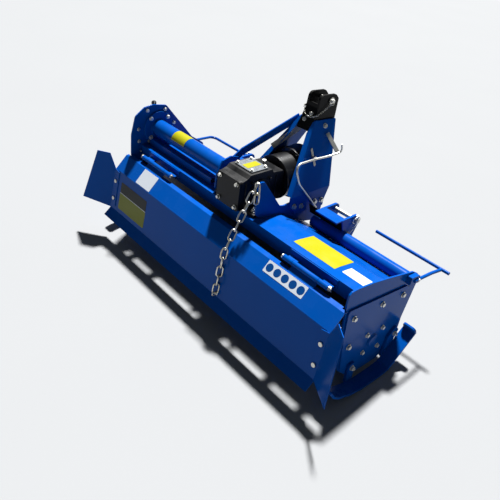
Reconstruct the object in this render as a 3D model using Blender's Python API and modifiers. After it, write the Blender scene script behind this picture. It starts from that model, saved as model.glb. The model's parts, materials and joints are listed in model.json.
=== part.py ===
"""Rotary tiller for a small tractor: hood, side drive, bladed rotor, hung rear flap and three-point mast.

Lengths in metres. +X is the machine's right, +Y forward to the tractor, +Z up, floor at zero.
Shapes are laid out with y measured from the drive tube's axis, then moved so the box is centred.
"""

import math

import bmesh
import bpy
from mathutils import Matrix, Vector

GAP = 0.0003  # between pieces that rest on or run in each other
SMOOTH = 24  # sides of a small round bar

# Overall layout
PLATE_IN = 0.767  # inner face of the end plates, from the middle
PLATE_T = 0.008
FLAP_HALF = PLATE_IN + 0.019  # half the rear flap's width
DECK_T = 0.005
AXLE_Y, AXLE_Z = 0.084, 0.171  # rotor axis
ROTOR_R = 0.158
DRIVE_Y, DRIVE_Z = 0.0, 0.585  # drive tube and power input
HINGE_Y, HINGE_Z = -0.149, 0.474  # flap hinge axis
GUARD_Y, GUARD_Z, GUARD_R = 0.482, 0.400, 0.008  # front safety bar
GUARD_X = PLATE_IN + 0.033  # its arm

# Flap section, from its bottom edge up
FLAP_T = 0.004
FLAP_BOTTOM = (-0.324, 0.115)
FLAP_LOW_FOLD = (-0.281, 0.153)
FLAP_HIGH_FOLD = (-0.245, 0.379)
FLAP_LIP = (-0.182, 0.4455)
FLAP_EDGE = (-0.156, 0.4475)

# Front beam
BEAM_Y, BEAM_Z, BEAM_R = 0.275, 0.407, 0.032
BEAM_IN = 0.200

# Mast and gearbox
BRACKET_X, BRACKET_T = 0.142, 0.008
LEG_T = 0.008
EAR_IN, EAR_T = 0.028, 0.012  # top clevis
LEG_FOOT, LEG_HEAD = 0.548, 0.856  # heights where the mast leg starts to lean and where it ends
LEG_LEAN = EAR_IN + EAR_T - BRACKET_X - BRACKET_T
TOP_PIN = (0.437, 0.940)
TOP_PIN_R = 0.0095
BOX_HALF = 0.075
TUBE_R = 0.044

# Lower hitch
HITCH_IN, HITCH_OUT, HITCH_T = 0.245, 0.370, 0.012
LOW_PIN = (0.350, 0.481)
LOW_PIN_R = 0.011

# Flap hinge
KNUCKLE_R, HINGE_PIN_R = 0.0125, 0.006
KNUCKLES = (0.413, 0.467, 0.612, 0.666)

CHAIN_OFF = 0.0066  # chain's middle above the flap's face

# Skids
SKID_IN = PLATE_IN + 2 * PLATE_T + 0.0115
SKID_WIDE, SKID_T = 0.065, 0.010

# Rotor
CORE_R, JOURNAL_R = 0.036, 0.030
FLANGES = 6
FLANGE_PITCH = 2 * (PLATE_IN - 0.167) / (FLANGES - 1)
BLADE_T = 0.007

BLUE = ("blue_paint", (0.01, 0.10, 0.62), 0.0, 0.3)
BLACK = ("black_paint", (0.015, 0.015, 0.017), 0.0, 0.4)
GREY = ("grey_cover", (0.20, 0.21, 0.22), 0.0, 0.5)
ZINC = ("zinc_plate", (0.55, 0.55, 0.52), 1.0, 0.35)
STEEL = ("blade_steel", (0.16, 0.15, 0.14), 1.0, 0.5)


def clear_scene():
    for obj in list(bpy.data.objects):
        bpy.data.objects.remove(obj, do_unlink=True)


def collection(name, hidden=False):
    made = bpy.data.collections.new(name)
    bpy.context.scene.collection.children.link(made)
    made.hide_render = hidden
    return made


def add(name, mesh, finish=None, home=None):
    """One object: a node in the tiller's collection, or a hidden helper when it has no finish."""
    obj = bpy.data.objects.new(name, mesh)
    if finish is None:
        (home or HELPERS).objects.link(obj)
        obj.hide_render = True
        obj.display_type = "WIRE"
        return obj
    TILLER.objects.link(obj)
    slot, colour, metal, rough = finish
    material = bpy.data.materials.new(f"{name}_{slot}")
    material.use_nodes = True
    shader = material.node_tree.nodes["Principled BSDF"]
    shader.inputs["Base Color"].default_value = (*colour, 1.0)
    shader.inputs["Metallic"].default_value = metal
    shader.inputs["Roughness"].default_value = rough
    material.diffuse_color = (*colour, 1.0)
    obj.data.materials.append(material)
    return obj


def finish_mesh(bm, name):
    bmesh.ops.recalc_face_normals(bm, faces=bm.faces)
    mesh = bpy.data.meshes.new(name)
    bm.to_mesh(mesh)
    bm.free()
    return mesh


def rounded(points, radius, steps=5):
    """The outline with each corner turned into an arc. radius is one value or one per corner."""
    count = len(points)
    radii = radius if isinstance(radius, (list, tuple)) else [radius] * count
    out = []
    for i, corner in enumerate(points):
        here = Vector(corner)
        back = Vector(points[i - 1]) - here
        ahead = Vector(points[(i + 1) % count]) - here
        if radii[i] <= 0:
            out.append(tuple(here))
            continue
        half = back.angle(ahead) / 2
        reach = min(radii[i] / math.tan(half), 0.48 * back.length, 0.48 * ahead.length)
        r = reach * math.tan(half)
        centre = here + (back.normalized() + ahead.normalized()).normalized() * (r / math.sin(half))
        start = here + back.normalized() * reach - centre
        end = here + ahead.normalized() * reach - centre
        turn = math.atan2(start.cross(end), start.dot(end))
        for k in range(steps + 1):
            a = turn * k / steps
            c, s = math.cos(a), math.sin(a)
            out.append((centre.x + start.x * c - start.y * s, centre.y + start.x * s + start.y * c))
    return out


def prism(name, outline, low, high, axis="X"):
    """A flat outline extruded along an axis: (y, z) for X, (x, z) for Y, (x, y) for Z."""
    put = {
        "X": lambda a, b, c: (c, a, b),
        "Y": lambda a, b, c: (a, c, b),
        "Z": lambda a, b, c: (a, b, c),
    }[axis]
    bm = bmesh.new()
    ends = []
    for level in (low, high):
        ring = [bm.verts.new(put(a, b, level)) for a, b in outline]
        ends.append(ring)
        bm.faces.new(ring)
    for i in range(len(outline)):
        j = (i + 1) % len(outline)
        bm.faces.new((ends[0][i], ends[0][j], ends[1][j], ends[1][i]))
    return finish_mesh(bm, name)


def block(name, x, y, z):
    return prism(name, [(x[0], y[0]), (x[1], y[0]), (x[1], y[1]), (x[0], y[1])], z[0], z[1], "Z")


def circle(a, b, radius, sides=SMOOTH):
    return [
        (a + radius * math.cos(2 * math.pi * i / sides), b + radius * math.sin(2 * math.pi * i / sides))
        for i in range(sides)
    ]


def rod(name, axis, centre, radius, low, high, sides=SMOOTH):
    return prism(name, circle(centre[0], centre[1], radius, sides), low, high, axis)


def folded(path, thickness, side=1):
    """The outline of a folded sheet: a path and its mitred offset to the left (side 1) or right."""
    pts = [Vector(p) for p in path]
    offset = []
    for i, here in enumerate(pts):
        before = (here - pts[i - 1]).normalized() if i else None
        after = (pts[i + 1] - here).normalized() if i + 1 < len(pts) else None
        before = before or after
        after = after or before
        n1 = Vector((-before.y, before.x)) * side
        n2 = Vector((-after.y, after.x)) * side
        mitre = (n1 + n2).normalized()
        offset.append(tuple(here + mitre * (thickness / mitre.dot(n1))))
    return [tuple(p) for p in pts] + offset[::-1]


def pipe(name, points, radius, sides=16, bend=0.0, steps=6):
    """A round bar swept along 3-D points, its corners bent to a radius."""
    path = bent(points, bend, steps) if bend else [Vector(p) for p in points]
    bm = bmesh.new()
    rings = []
    normal = None
    for i, here in enumerate(path):
        ahead = (path[min(i + 1, len(path) - 1)] - path[max(i - 1, 0)]).normalized()
        if normal is None:
            normal = ahead.orthogonal().normalized()
        normal = (normal - ahead * normal.dot(ahead)).normalized()
        other = ahead.cross(normal)
        ring = []
        for k in range(sides):
            a = 2 * math.pi * k / sides
            ring.append(bm.verts.new(here + normal * radius * math.cos(a) + other * radius * math.sin(a)))
        rings.append(ring)
    for ring, following in zip(rings, rings[1:]):
        for k in range(sides):
            j = (k + 1) % sides
            bm.faces.new((ring[k], ring[j], following[j], following[k]))
    bm.faces.new(rings[0])
    bm.faces.new(rings[-1])
    return finish_mesh(bm, name)


def bent(points, radius, steps):
    pts = [Vector(p) for p in points]
    out = [pts[0]]
    for before, here, after in zip(pts, pts[1:], pts[2:]):
        back, ahead = before - here, after - here
        half = back.angle(ahead) / 2
        reach = min(radius / math.tan(half), 0.48 * back.length, 0.48 * ahead.length)
        start, end = here + back.normalized() * reach, here + ahead.normalized() * reach
        r = reach * math.tan(half)
        centre = here + (back.normalized() + ahead.normalized()).normalized() * (r / math.sin(half))
        for k in range(steps + 1):
            arm = (start - centre).slerp(end - centre, k / steps)
            out.append(centre + arm.normalized() * r)
    out.append(pts[-1])
    return out


def boolean(target, mesh, operation):
    helper = mesh if isinstance(mesh, bpy.types.Object) else add(f"{target.name}_{mesh.name}", mesh)
    modifier = target.modifiers.new(operation.lower(), "BOOLEAN")
    modifier.operation = operation
    modifier.object = helper
    modifier.solver = "EXACT"
    return target


def union(target, *meshes):
    for mesh in meshes:
        boolean(target, mesh, "UNION")
    return target


def cut(target, *meshes):
    for mesh in meshes:
        boolean(target, mesh, "DIFFERENCE")
    return target


def mirrored(mesh, name):
    """A copy of a mesh turned over to the machine's other side."""
    copy = mesh.copy()
    copy.name = name
    copy.transform(Matrix.Scale(-1, 4, (1, 0, 0)))
    copy.flip_normals()
    return copy


def on_side(mesh, side, name):
    return mesh if side > 0 else mirrored(mesh, name)


def lean(mesh, low, high, shift_low, shift_high):
    """Shifts a plate in x so that it is upright below `low`, then leans in to `high`."""
    bm = bmesh.new()
    bm.from_mesh(mesh)
    for level in (low, high):
        geom = bm.verts[:] + bm.edges[:] + bm.faces[:]
        bmesh.ops.bisect_plane(bm, geom=geom, plane_co=(0, 0, level), plane_no=(0, 0, 1))
    for vert in bm.verts:
        along = min(max((vert.co.z - low) / (high - low), 0.0), 1.0)
        vert.co.x += shift_low + (shift_high - shift_low) * along
    name = mesh.name
    return finish_mesh(bm, name)


def make_deck():
    """The hood: rear lip, flat top, steep front fall and the front apron, in folded sheet."""
    path = [(-0.100, 0.434), (-0.100, 0.497), (-0.020, 0.492), (0.075, 0.478)]
    tangent = (BEAM_Y - 0.075, BEAM_Z - 0.478)
    reach = math.hypot(*tangent)
    angle = math.atan2(tangent[1], tangent[0]) - math.asin((BEAM_R + GAP) / reach)
    run = 0.235
    path.append((0.075 + run * math.cos(angle), 0.478 + run * math.sin(angle)))
    path += [(0.316, 0.336), (0.288, 0.200)]
    sheet = prism("sheet", folded(path, DECK_T, -1), -PLATE_IN + GAP, PLATE_IN - GAP)
    return add("deck", sheet, BLUE)


def make_stiffener():
    outline = folded([(-0.056, 0.4953), (-0.052, 0.530), (-0.008, 0.527), (-0.004, 0.4914)], 0.004, -1)
    return add("deck_stiffener", prism("channel", outline, 0.015 - PLATE_IN, -0.215), BLUE)


def make_beam(side):
    name = "front_beam_right" if side > 0 else "front_beam_left"
    low, high = sorted((side * BEAM_IN, side * (PLATE_IN - GAP)))
    beam = add(name, rod("bar", "X", (BEAM_Y, BEAM_Z), BEAM_R, low, high, 32), BLUE)
    return beam


PLATE_LOW = [(0.289, 0.151), (0.276, 0.109), (0.223, 0.058), (0.157, 0.032), (0.057, 0.032), (-0.042, 0.036)]


def make_end_plate():
    top = [(-0.161, 0.451), (-0.161, 0.512), (-0.145, 0.524), (-0.107, 0.524), (-0.009, 0.512)]
    top += [(0.113, 0.488), (0.283, 0.450), (0.325, 0.425), (0.341, 0.376)]
    outline = rounded(top + PLATE_LOW + [(-0.110, 0.090), (-0.149, 0.300)], 0.012, 3)
    plate = add("end_plate_right", prism("plate", outline, PLATE_IN, PLATE_IN + PLATE_T), BLUE)
    return cut(plate, rod("hole", "X", (AXLE_Y, AXLE_Z), JOURNAL_R + 0.004, PLATE_IN - 0.01, PLATE_IN + 0.03, 32))


def make_side_plate():
    low = [(0.280, 0.151), (0.266, 0.109), (0.220, 0.050), (0.157, 0.024), (0.057, 0.024), (-0.042, 0.030)]
    points = [(-0.149, 0.435), (0.252, 0.393), (0.285, 0.360)] + low + [(-0.105, 0.090), (-0.140, 0.300)]
    x0 = PLATE_IN + PLATE_T + GAP
    plate = add("side_plate_right", prism("plate", rounded(points, 0.014, 3), x0, x0 + PLATE_T), BLUE)
    return cut(plate, rod("hole", "X", (AXLE_Y, AXLE_Z), JOURNAL_R + 0.002, x0 - 0.01, x0 + 0.03, 32))


def make_bearing(side):
    name = "rotor_bearing_right" if side > 0 else "rotor_bearing_left"
    square = [(AXLE_Y + a * 0.078, AXLE_Z + b * 0.074) for a, b in ((-1, -1), (1, -1), (1, 1), (-1, 1))]
    x1 = PLATE_IN - GAP
    flange = prism("flange", rounded(square, 0.02, 4), x1 - 0.010, x1)
    barrel = rod("barrel", "X", (AXLE_Y, AXLE_Z), 0.052, x1 - 0.032, x1 - 0.005, 32)
    bore = rod("bore", "X", (AXLE_Y, AXLE_Z), JOURNAL_R + 0.0004, x1 - 0.05, x1 + 0.02, 32)
    housing = add(name, on_side(flange, side, "flange_l"), BLUE)
    union(housing, on_side(barrel, side, "barrel_l"))
    return cut(housing, on_side(bore, side, "bore_l"))


def make_case_plate():
    points = [(-0.163, 0.459), (-0.163, 0.563), (-0.140, 0.664), (-0.084, 0.706), (-0.029, 0.713)]
    points += [(0.054, 0.699), (0.240, 0.480), (0.325, 0.425), (0.341, 0.376)]
    outline = rounded(points + PLATE_LOW + [(-0.110, 0.090), (-0.149, 0.300)], 0.02, 3)
    plate = add("case_plate_left", prism("plate", outline, -PLATE_IN - PLATE_T, -PLATE_IN), BLUE)
    cut(plate, rod("hole", "X", (AXLE_Y, AXLE_Z), JOURNAL_R + 0.004, -PLATE_IN - 0.03, -PLATE_IN + 0.01, 32))
    return plate


def make_gear_case():
    """The side gear case, upright from the drive axis to the rotor axis."""
    lean_angle = math.atan2(AXLE_Z - DRIVE_Z, AXLE_Y - DRIVE_Y)
    outline = []
    for (y, z, r, start) in ((DRIVE_Y, DRIVE_Z, 0.100, math.pi / 2), (AXLE_Y, AXLE_Z, 0.108, -math.pi / 2)):
        for k in range(17):
            a = lean_angle + start + math.pi * k / 16
            outline.append((y + r * math.cos(a), z + r * math.sin(a)))
    x1 = -PLATE_IN - PLATE_T - GAP
    case = add("gear_case", prism("shell", outline, x1 - 0.062, x1), BLUE)
    bevel = case.modifiers.new("edge", "BEVEL")
    bevel.width = 0.010
    bevel.segments = 3
    bevel.limit_method = "ANGLE"
    bevel.angle_limit = math.radians(60)
    cut(case, rod("hub_hole", "X", (AXLE_Y, AXLE_Z), JOURNAL_R + 0.002, x1 - 0.020, x1 + 0.01, 32))
    return case


def make_drive_tube():
    left, right = -PLATE_IN + GAP, -BOX_HALF - GAP
    tube = add("drive_tube", rod("tube", "X", (DRIVE_Y, DRIVE_Z), TUBE_R, left, right, 48), BLUE)
    square = [(DRIVE_Y + a * 0.068, DRIVE_Z + b * 0.068) for a, b in ((-1, -1), (1, -1), (1, 1), (-1, 1))]
    union(tube, prism("right_flange", rounded(square, 0.02, 4), right - 0.012, right))
    round_flange = rod("left_flange", "X", (DRIVE_Y, DRIVE_Z), 0.088, left, left + 0.012, 40)
    return union(tube, round_flange)


def make_gearbox():
    body = [(-0.118, 0.516), (-0.118, 0.655), (-0.085, 0.664), (-0.066, 0.679), (0.066, 0.679)]
    body += [(0.074, 0.662), (0.142, 0.658), (0.142, 0.524), (0.110, 0.510)]
    box = add("gearbox", prism("body", rounded(body, 0.008, 3), -BOX_HALF, BOX_HALF), BLACK)
    cover = [(-BOX_HALF - 0.002, 0.510), (BOX_HALF + 0.002, 0.510), (BOX_HALF + 0.002, 0.660)]
    cover.append((-BOX_HALF - 0.002, 0.660))
    union(box, prism("rear_cover", rounded(cover, 0.012, 4), -0.130, -0.112, "Y"))
    union(box, block("foot", (-BRACKET_X + GAP, BRACKET_X - GAP), (-0.085, 0.072), (0.4985, 0.513)))
    union(box, rod("nose", "Y", (0.0, DRIVE_Z), 0.056, 0.135, 0.175, 32))
    return cut(box, rod("seat", "Y", (0.0, DRIVE_Z), 0.0184, 0.150, 0.20, 32))


def make_gearbox_cover():
    outline = rounded([(-0.060, -0.052), (0.062, -0.052), (0.062, 0.052), (-0.060, 0.052)], 0.008, 4)
    return add("gearbox_top_cover", prism("plate", outline, 0.6793, 0.6855, "Z"), GREY)


def make_pto_guard():
    """The stepped cover round the power input: a small drum at the gearbox, a wider one in front."""
    profile = [(0.1505, 0.0563), (0.1505, 0.105), (0.250, 0.105), (0.250, 0.125), (0.345, 0.125)]
    profile += [(0.345, 0.121), (0.254, 0.121), (0.254, 0.101), (0.1545, 0.101), (0.1545, 0.0563)]
    sides = 48
    bm = bmesh.new()
    rings = []
    for k in range(sides):
        a = 2 * math.pi * k / sides
        rings.append([bm.verts.new((r * math.cos(a), y, DRIVE_Z + r * math.sin(a))) for y, r in profile])
    for k in range(sides):
        ring, following = rings[k], rings[(k + 1) % sides]
        for i in range(len(profile)):
            j = (i + 1) % len(profile)
            bm.faces.new((ring[i], ring[j], following[j], following[i]))
    return add("pto_guard", finish_mesh(bm, "drums"), BLACK)


def make_pto_shaft():
    shaft = add("pto_shaft", rod("stub", "Y", (0.0, 0.0), 0.0175, -0.060, 0.070, 24), STEEL)
    shaft.location = (0.0, 0.212, DRIVE_Z)
    return union(shaft, moved_helper(rod("collar", "Y", (0.0, 0.0), 0.026, -0.036, -0.024, 24), shaft))


def moved_helper(mesh, owner):
    helper = add(f"{owner.name}_{mesh.name}", mesh)
    helper.parent = owner
    return helper


def make_bracket(side):
    """The upright base plate beside the gearbox, which also carries the mast leg in front."""
    name = "base_bracket_right" if side > 0 else "base_bracket_left"
    deck_line = [(-0.060, 0.4968), (-0.020, 0.4928), (0.0755, 0.4788)]
    angle = math.radians(-28.3)
    deck_line.append((0.0755 + 0.205 * math.cos(angle), 0.4790 + 0.205 * math.sin(angle)))
    front = [(0.335, 0.366), (0.372, 0.400), (0.378, 0.470), (0.366, 0.512), (0.240, 0.526), (0.150, 0.520)]
    if side > 0:
        rear = [(0.095, 0.516), (0.070, 0.522), (-0.050, 0.676), (-0.070, 0.681), (-0.080, 0.672)]
    else:
        rear = [(0.110, 0.545), (0.078, 0.600), (0.050, 0.655), (0.0, 0.668), (-0.050, 0.655)]
        rear += [(-0.080, 0.600)]
    rear.append((-0.084, 0.520))
    outline = rounded(deck_line + front + rear, 0.008, 3)
    plate = prism("plate", outline, BRACKET_X, BRACKET_X + BRACKET_T)
    bracket = add(name, on_side(plate, side, "plate_l"), BLUE)
    if side < 0:
        hole = rod("tube_hole", "X", (DRIVE_Y, DRIVE_Z), TUBE_R + GAP, -0.17, -0.12, 48)
        return cut(bracket, hole)
    hook = rounded([(-0.074, 0.600), (-0.074, 0.668), (-0.100, 0.676), (-0.098, 0.655), (-0.088, 0.640)], 0.003, 3)
    return union(bracket, prism("hook", hook, BRACKET_X + 0.001, BRACKET_X + 0.007))


def lean_like_leg(mesh):
    """Leans a plate that stands upright by the base bracket in step with the mast leg."""
    return lean(mesh, LEG_FOOT, LEG_HEAD, 0.0, LEG_LEAN)


def make_leg(side):
    name = "mast_leg_right" if side > 0 else "mast_leg_left"
    pull = 0.0 if side > 0 else 0.034
    low, high = LEG_FOOT, LEG_HEAD
    inner = BRACKET_X + BRACKET_T + GAP
    top_in = EAR_IN + EAR_T + GAP
    outline = [(0.335, high), (0.482, 0.848), (0.398 - pull, low), (0.372 - pull, 0.476)]
    outline += [(0.372 - pull, 0.445), (0.175, 0.452), (0.130, 0.500), (0.129, low)]
    plate = prism("plate", rounded(outline, 0.004, 2), inner, inner + LEG_T)
    plate = lean_like_leg(plate)
    leg = add(name, on_side(plate, side, "plate_l"), BLUE)
    fold = prism("fold", folded([(0.129, low + 0.004), (0.330, 0.850)], 0.006, -1), inner - 0.020, inner + 0.004)
    fold = lean_like_leg(fold)
    union(leg, on_side(fold, side, "fold_l"))
    return cut(leg, block("clevis_room", (-top_in, top_in), (0.298, 0.500), (0.790, 0.900)))


def make_stay():
    """The left rear stay, a folded bar from the clevis down to the left base bracket."""
    head, knee, foot = (Vector(p) for p in ((-0.0670, 0.352, 0.836), (-0.1545, 0.080, 0.672), (-0.1545, 0.030, 0.642)))
    stay = add("rear_stay_left", bar_between("bar", head, knee, 0.007, 0.040), BLUE)
    return union(stay, bar_between("foot", knee + (knee - foot) * 0.05, foot, 0.007, 0.038))


def bar_between(name, head, foot, thick, deep):
    """A flat bar between two points, thick in x and deep across its length."""
    along = (foot - head).normalized()
    across = Vector((1, 0, 0)).cross(along).normalized()
    wide = along.cross(across).normalized()
    bm = bmesh.new()
    ends = []
    for end in (head, foot):
        corners = [(-1, -1), (1, -1), (1, 1), (-1, 1)]
        ends.append([bm.verts.new(end + wide * a * thick / 2 + across * b * deep / 2) for a, b in corners])
    for i in range(4):
        j = (i + 1) % 4
        bm.faces.new((ends[0][i], ends[0][j], ends[1][j], ends[1][i]))
    bm.faces.new(ends[0])
    bm.faces.new(ends[1])
    return finish_mesh(bm, name)


def make_clevis():
    ear = [(0.305, 0.800), (0.352, 0.900), (0.359, 0.975), (0.466, 0.968), (0.489, 0.945), (0.485, 0.842)]
    ear += [(0.470, 0.800)]
    ear = rounded(ear, [0.01, 0.004, 0.024, 0.024, 0.010, 0.01, 0.03], 4)
    clevis = add("top_clevis", prism("ear", ear, EAR_IN, EAR_IN + EAR_T), BLACK)
    union(clevis, prism("ear_l", ear, -EAR_IN - EAR_T, -EAR_IN))
    web = folded([(0.306, 0.806), (0.351, 0.900), (0.356, 0.930)], 0.010, -1)
    union(clevis, prism("web", web, -EAR_IN - 0.004, EAR_IN + 0.004))
    union(clevis, prism("floor", folded([(0.318, 0.822), (0.462, 0.812)], 0.010, -1), -EAR_IN - 0.004, EAR_IN + 0.004))
    return cut(clevis, rod("bore", "X", TOP_PIN, TOP_PIN_R + GAP, -0.06, 0.06))


def make_top_pin():
    pin = add("top_link_pin", rod("pin", "X", TOP_PIN, TOP_PIN_R, -0.066, 0.056), ZINC)
    return union(pin, rod("head", "X", TOP_PIN, 0.016, -0.046, -0.0405))


def make_hitch(side):
    name = "hitch_bracket_right" if side > 0 else "hitch_bracket_left"
    ear = rounded(
        [(0.300, 0.3435), (0.345, 0.372), (0.379, 0.446), (0.379, 0.5055), (0.252, 0.5045), (0.273, 0.442),
         (0.262, 0.345)],
        [0.004, 0.012, 0.012, 0.024, 0.003, 0.004, 0.004], 5)
    bracket = add(name, on_side(prism("ear", ear, HITCH_IN, HITCH_IN + HITCH_T), side, "ear_l"), BLUE)
    union(bracket, on_side(prism("ear2", ear, HITCH_OUT, HITCH_OUT + HITCH_T), side, "ear2_l"))
    top = block("top", (HITCH_IN + 0.002, HITCH_OUT + HITCH_T - 0.002), (0.214, 0.280), (0.4975, 0.5043))
    web = prism("web", [(0.2545, 0.5000), (0.2750, 0.4380), (0.2810, 0.4380), (0.2605, 0.5000)], HITCH_IN + 0.003, HITCH_OUT + 0.003)
    union(bracket, on_side(top, side, "top_l"), on_side(web, side, "web_l"))
    seat = rod("seat", "X", (BEAM_Y, BEAM_Z), BEAM_R + GAP, 0.15, 0.45, 32)
    cut(bracket, on_side(seat, side, "seat_l"))
    below = prism("below", [(0.0755, 0.4788), (0.2819, 0.3675), (0.317, 0.337), (0.31, 0.2), (0.0, 0.2)], 0.1, 0.5)
    cut(bracket, on_side(below, side, "below_l"))
    bore = rod("bore", "X", LOW_PIN, LOW_PIN_R + GAP, 0.2, 0.45)
    return cut(bracket, on_side(bore, side, "bore_l"))


def make_hitch_pin(side):
    name = "hitch_pin_right" if side > 0 else "hitch_pin_left"
    pin = rod("pin", "X", LOW_PIN, LOW_PIN_R, HITCH_IN - 0.010, HITCH_OUT + 0.032)
    head = rod("head", "X", LOW_PIN, 0.017, HITCH_IN - 0.008, HITCH_IN - GAP)
    return union(add(name, on_side(pin, side, "pin_l"), ZINC), on_side(head, side, "head_l"))


def make_front_guard(side):
    """The right guard is a bar with an arm under it; the left one is a single bent rod."""
    inner = PLATE_IN + PLATE_T + GAP
    pad = prism("pad", rounded([(0.236, 0.408), (0.315, 0.400), (0.300, 0.440), (0.240, 0.448)], 0.006, 3), inner, GUARD_X)
    if side > 0:
        bar = pipe("bar", [(GUARD_X - 0.370, GUARD_Y, GUARD_Z), (GUARD_X + 0.042, GUARD_Y, GUARD_Z)], GUARD_R)
        route = [(GUARD_X, 0.262, GUARD_Z + 0.024), (GUARD_X, 0.400, GUARD_Z + 0.012)]
        arm = pipe("arm", route + [(GUARD_X, GUARD_Y - 0.003, GUARD_Z - 0.002)], GUARD_R)
        return union(add("front_guard_right", bar, BLUE), arm, pad)
    route = [(GUARD_X, 0.262, GUARD_Z + 0.034), (GUARD_X, 0.300, GUARD_Z + 0.032)]
    route += [(GUARD_X + 0.066, GUARD_Y, GUARD_Z - 0.008), (GUARD_X - 0.370, GUARD_Y, GUARD_Z - 0.002)]
    rod_mesh = pipe("rod", route, GUARD_R, 16, 0.030, 6)
    return union(add("front_guard_left", mirrored(rod_mesh, "rod_l"), BLUE), mirrored(pad, "pad_l"))


def make_skid(side):
    """A sledge-shaped flat bar with two upright tabs bolted to the end plate."""
    name = "skid_right" if side > 0 else "skid_left"
    path = [(0.300, 0.180), (0.318, 0.146), (0.207, 0.050), (0.160, 0.006), (0.100, 0.0), (-0.020, 0.0)]
    path += [(-0.107, 0.018), (-0.188, 0.048), (-0.226, 0.075), (-0.256, 0.118)]
    bar = prism("bar", folded(path, SKID_T, -1), SKID_IN, SKID_IN + SKID_WIDE)
    face = PLATE_IN + PLATE_T + GAP + (PLATE_T + GAP if side > 0 else 0.0)
    skid = add(name, on_side(bar, side, "bar_l"), BLUE)
    tabs = (
        rounded([(-0.066, 0.014), (-0.020, 0.006), (-0.024, 0.112), (-0.062, 0.112)], [0, 0, 0.01, 0.01], 4),
        rounded([(0.178, 0.030), (0.232, 0.078), (0.268, 0.150), (0.240, 0.178), (0.196, 0.140)], [0, 0, 0.01, 0.01, 0], 4),
    )
    for i, outline in enumerate(tabs):
        union(skid, on_side(prism(f"tab{i}", outline, face, SKID_IN + 0.002), side, f"tab{i}_l"))
    return skid


def flap_frame():
    """The flap's main face: its lower fold, the direction up it and its rearward normal."""
    low, high = Vector(FLAP_LOW_FOLD), Vector(FLAP_HIGH_FOLD)
    up = (high - low).normalized()
    return low, up, Vector((-up.y, up.x))


def to_hinge(mesh):
    """Moves a mesh so that the hinge axis is its origin."""
    mesh.transform(Matrix.Translation((0, -HINGE_Y, -HINGE_Z)))
    return mesh


def make_flap():
    path = [FLAP_BOTTOM, FLAP_LOW_FOLD, FLAP_HIGH_FOLD, FLAP_LIP, FLAP_EDGE]
    flap = add("rear_flap", to_hinge(prism("sheet", folded(path, FLAP_T, -1), -FLAP_HALF, FLAP_HALF)), BLUE)
    flap.location = (0, HINGE_Y, HINGE_Z)
    for side in (1, -1):
        low, high = KNUCKLES[1] + 0.001, KNUCKLES[2] - 0.001
        tag = "r" if side > 0 else "l"
        strap = folded([(-0.197, 0.4245), (-0.176, 0.4470), (-0.150, 0.4640)], 0.005, -1)
        parts = [
            prism(f"strap_{tag}", strap, low, high),
            rod(f"knuckle_{tag}", "X", (HINGE_Y, HINGE_Z), KNUCKLE_R, low, high),
        ]
        for mesh in parts:
            shape = to_hinge(on_side(mesh, side, f"{mesh.name}_m"))
            boolean(flap, moved_helper(shape, flap), "UNION")
        hole = rod(f"bore_{tag}", "X", (HINGE_Y, HINGE_Z), HINGE_PIN_R + GAP, low - 0.01, high + 0.01)
        boolean(flap, moved_helper(to_hinge(on_side(hole, side, f"bore_{tag}_m")), flap), "DIFFERENCE")
        notch = block(f"notch_{tag}", (PLATE_IN - 0.008, PLATE_IN + 0.033), (-0.1675, -0.140), (0.430, 0.462))
        boolean(flap, moved_helper(to_hinge(on_side(notch, side, f"notch_{tag}_m")), flap), "DIFFERENCE")
    return flap


def make_hinge_bracket(side):
    name = "hinge_bracket_right" if side > 0 else "hinge_bracket_left"
    low, high = KNUCKLES[0], KNUCKLES[3]
    back = block("back", (low - 0.006, high + 0.006), (-0.1045, -0.1003), (0.456, 0.494))
    bracket = add(name, on_side(back, side, "back_l"), BLUE)
    pairs = ((KNUCKLES[0], KNUCKLES[1] - 0.0005), (KNUCKLES[2] + 0.0005, KNUCKLES[3]))
    for i, (a, b) in enumerate(pairs):
        knuckle = rod(f"knuckle{i}", "X", (HINGE_Y, HINGE_Z), KNUCKLE_R, a, b)
        arm = block(f"arm{i}", (a, b), (-0.149, -0.102), (0.4620, 0.4680))
        union(bracket, on_side(knuckle, side, f"knuckle{i}_l"), on_side(arm, side, f"arm{i}_l"))
    bore = rod("bore", "X", (HINGE_Y, HINGE_Z), HINGE_PIN_R + GAP, low - 0.01, high + 0.01)
    return cut(bracket, on_side(bore, side, "bore_l"))


def make_hinge_pin(side):
    name = "hinge_pin_right" if side > 0 else "hinge_pin_left"
    low, high = KNUCKLES[0], KNUCKLES[3]
    pin = rod("pin", "X", (HINGE_Y, HINGE_Z), HINGE_PIN_R, low - 0.010, high + 0.014)
    head = rod("head", "X", (HINGE_Y, HINGE_Z), 0.010, low - 0.008, low - GAP)
    nut = rod("nut", "X", (HINGE_Y, HINGE_Z), 0.011, high + GAP, high + 0.010, 6)
    made = add(name, on_side(pin, side, "pin_l"), ZINC)
    return union(made, on_side(head, side, "head_l"), on_side(nut, side, "nut_l"))


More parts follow.
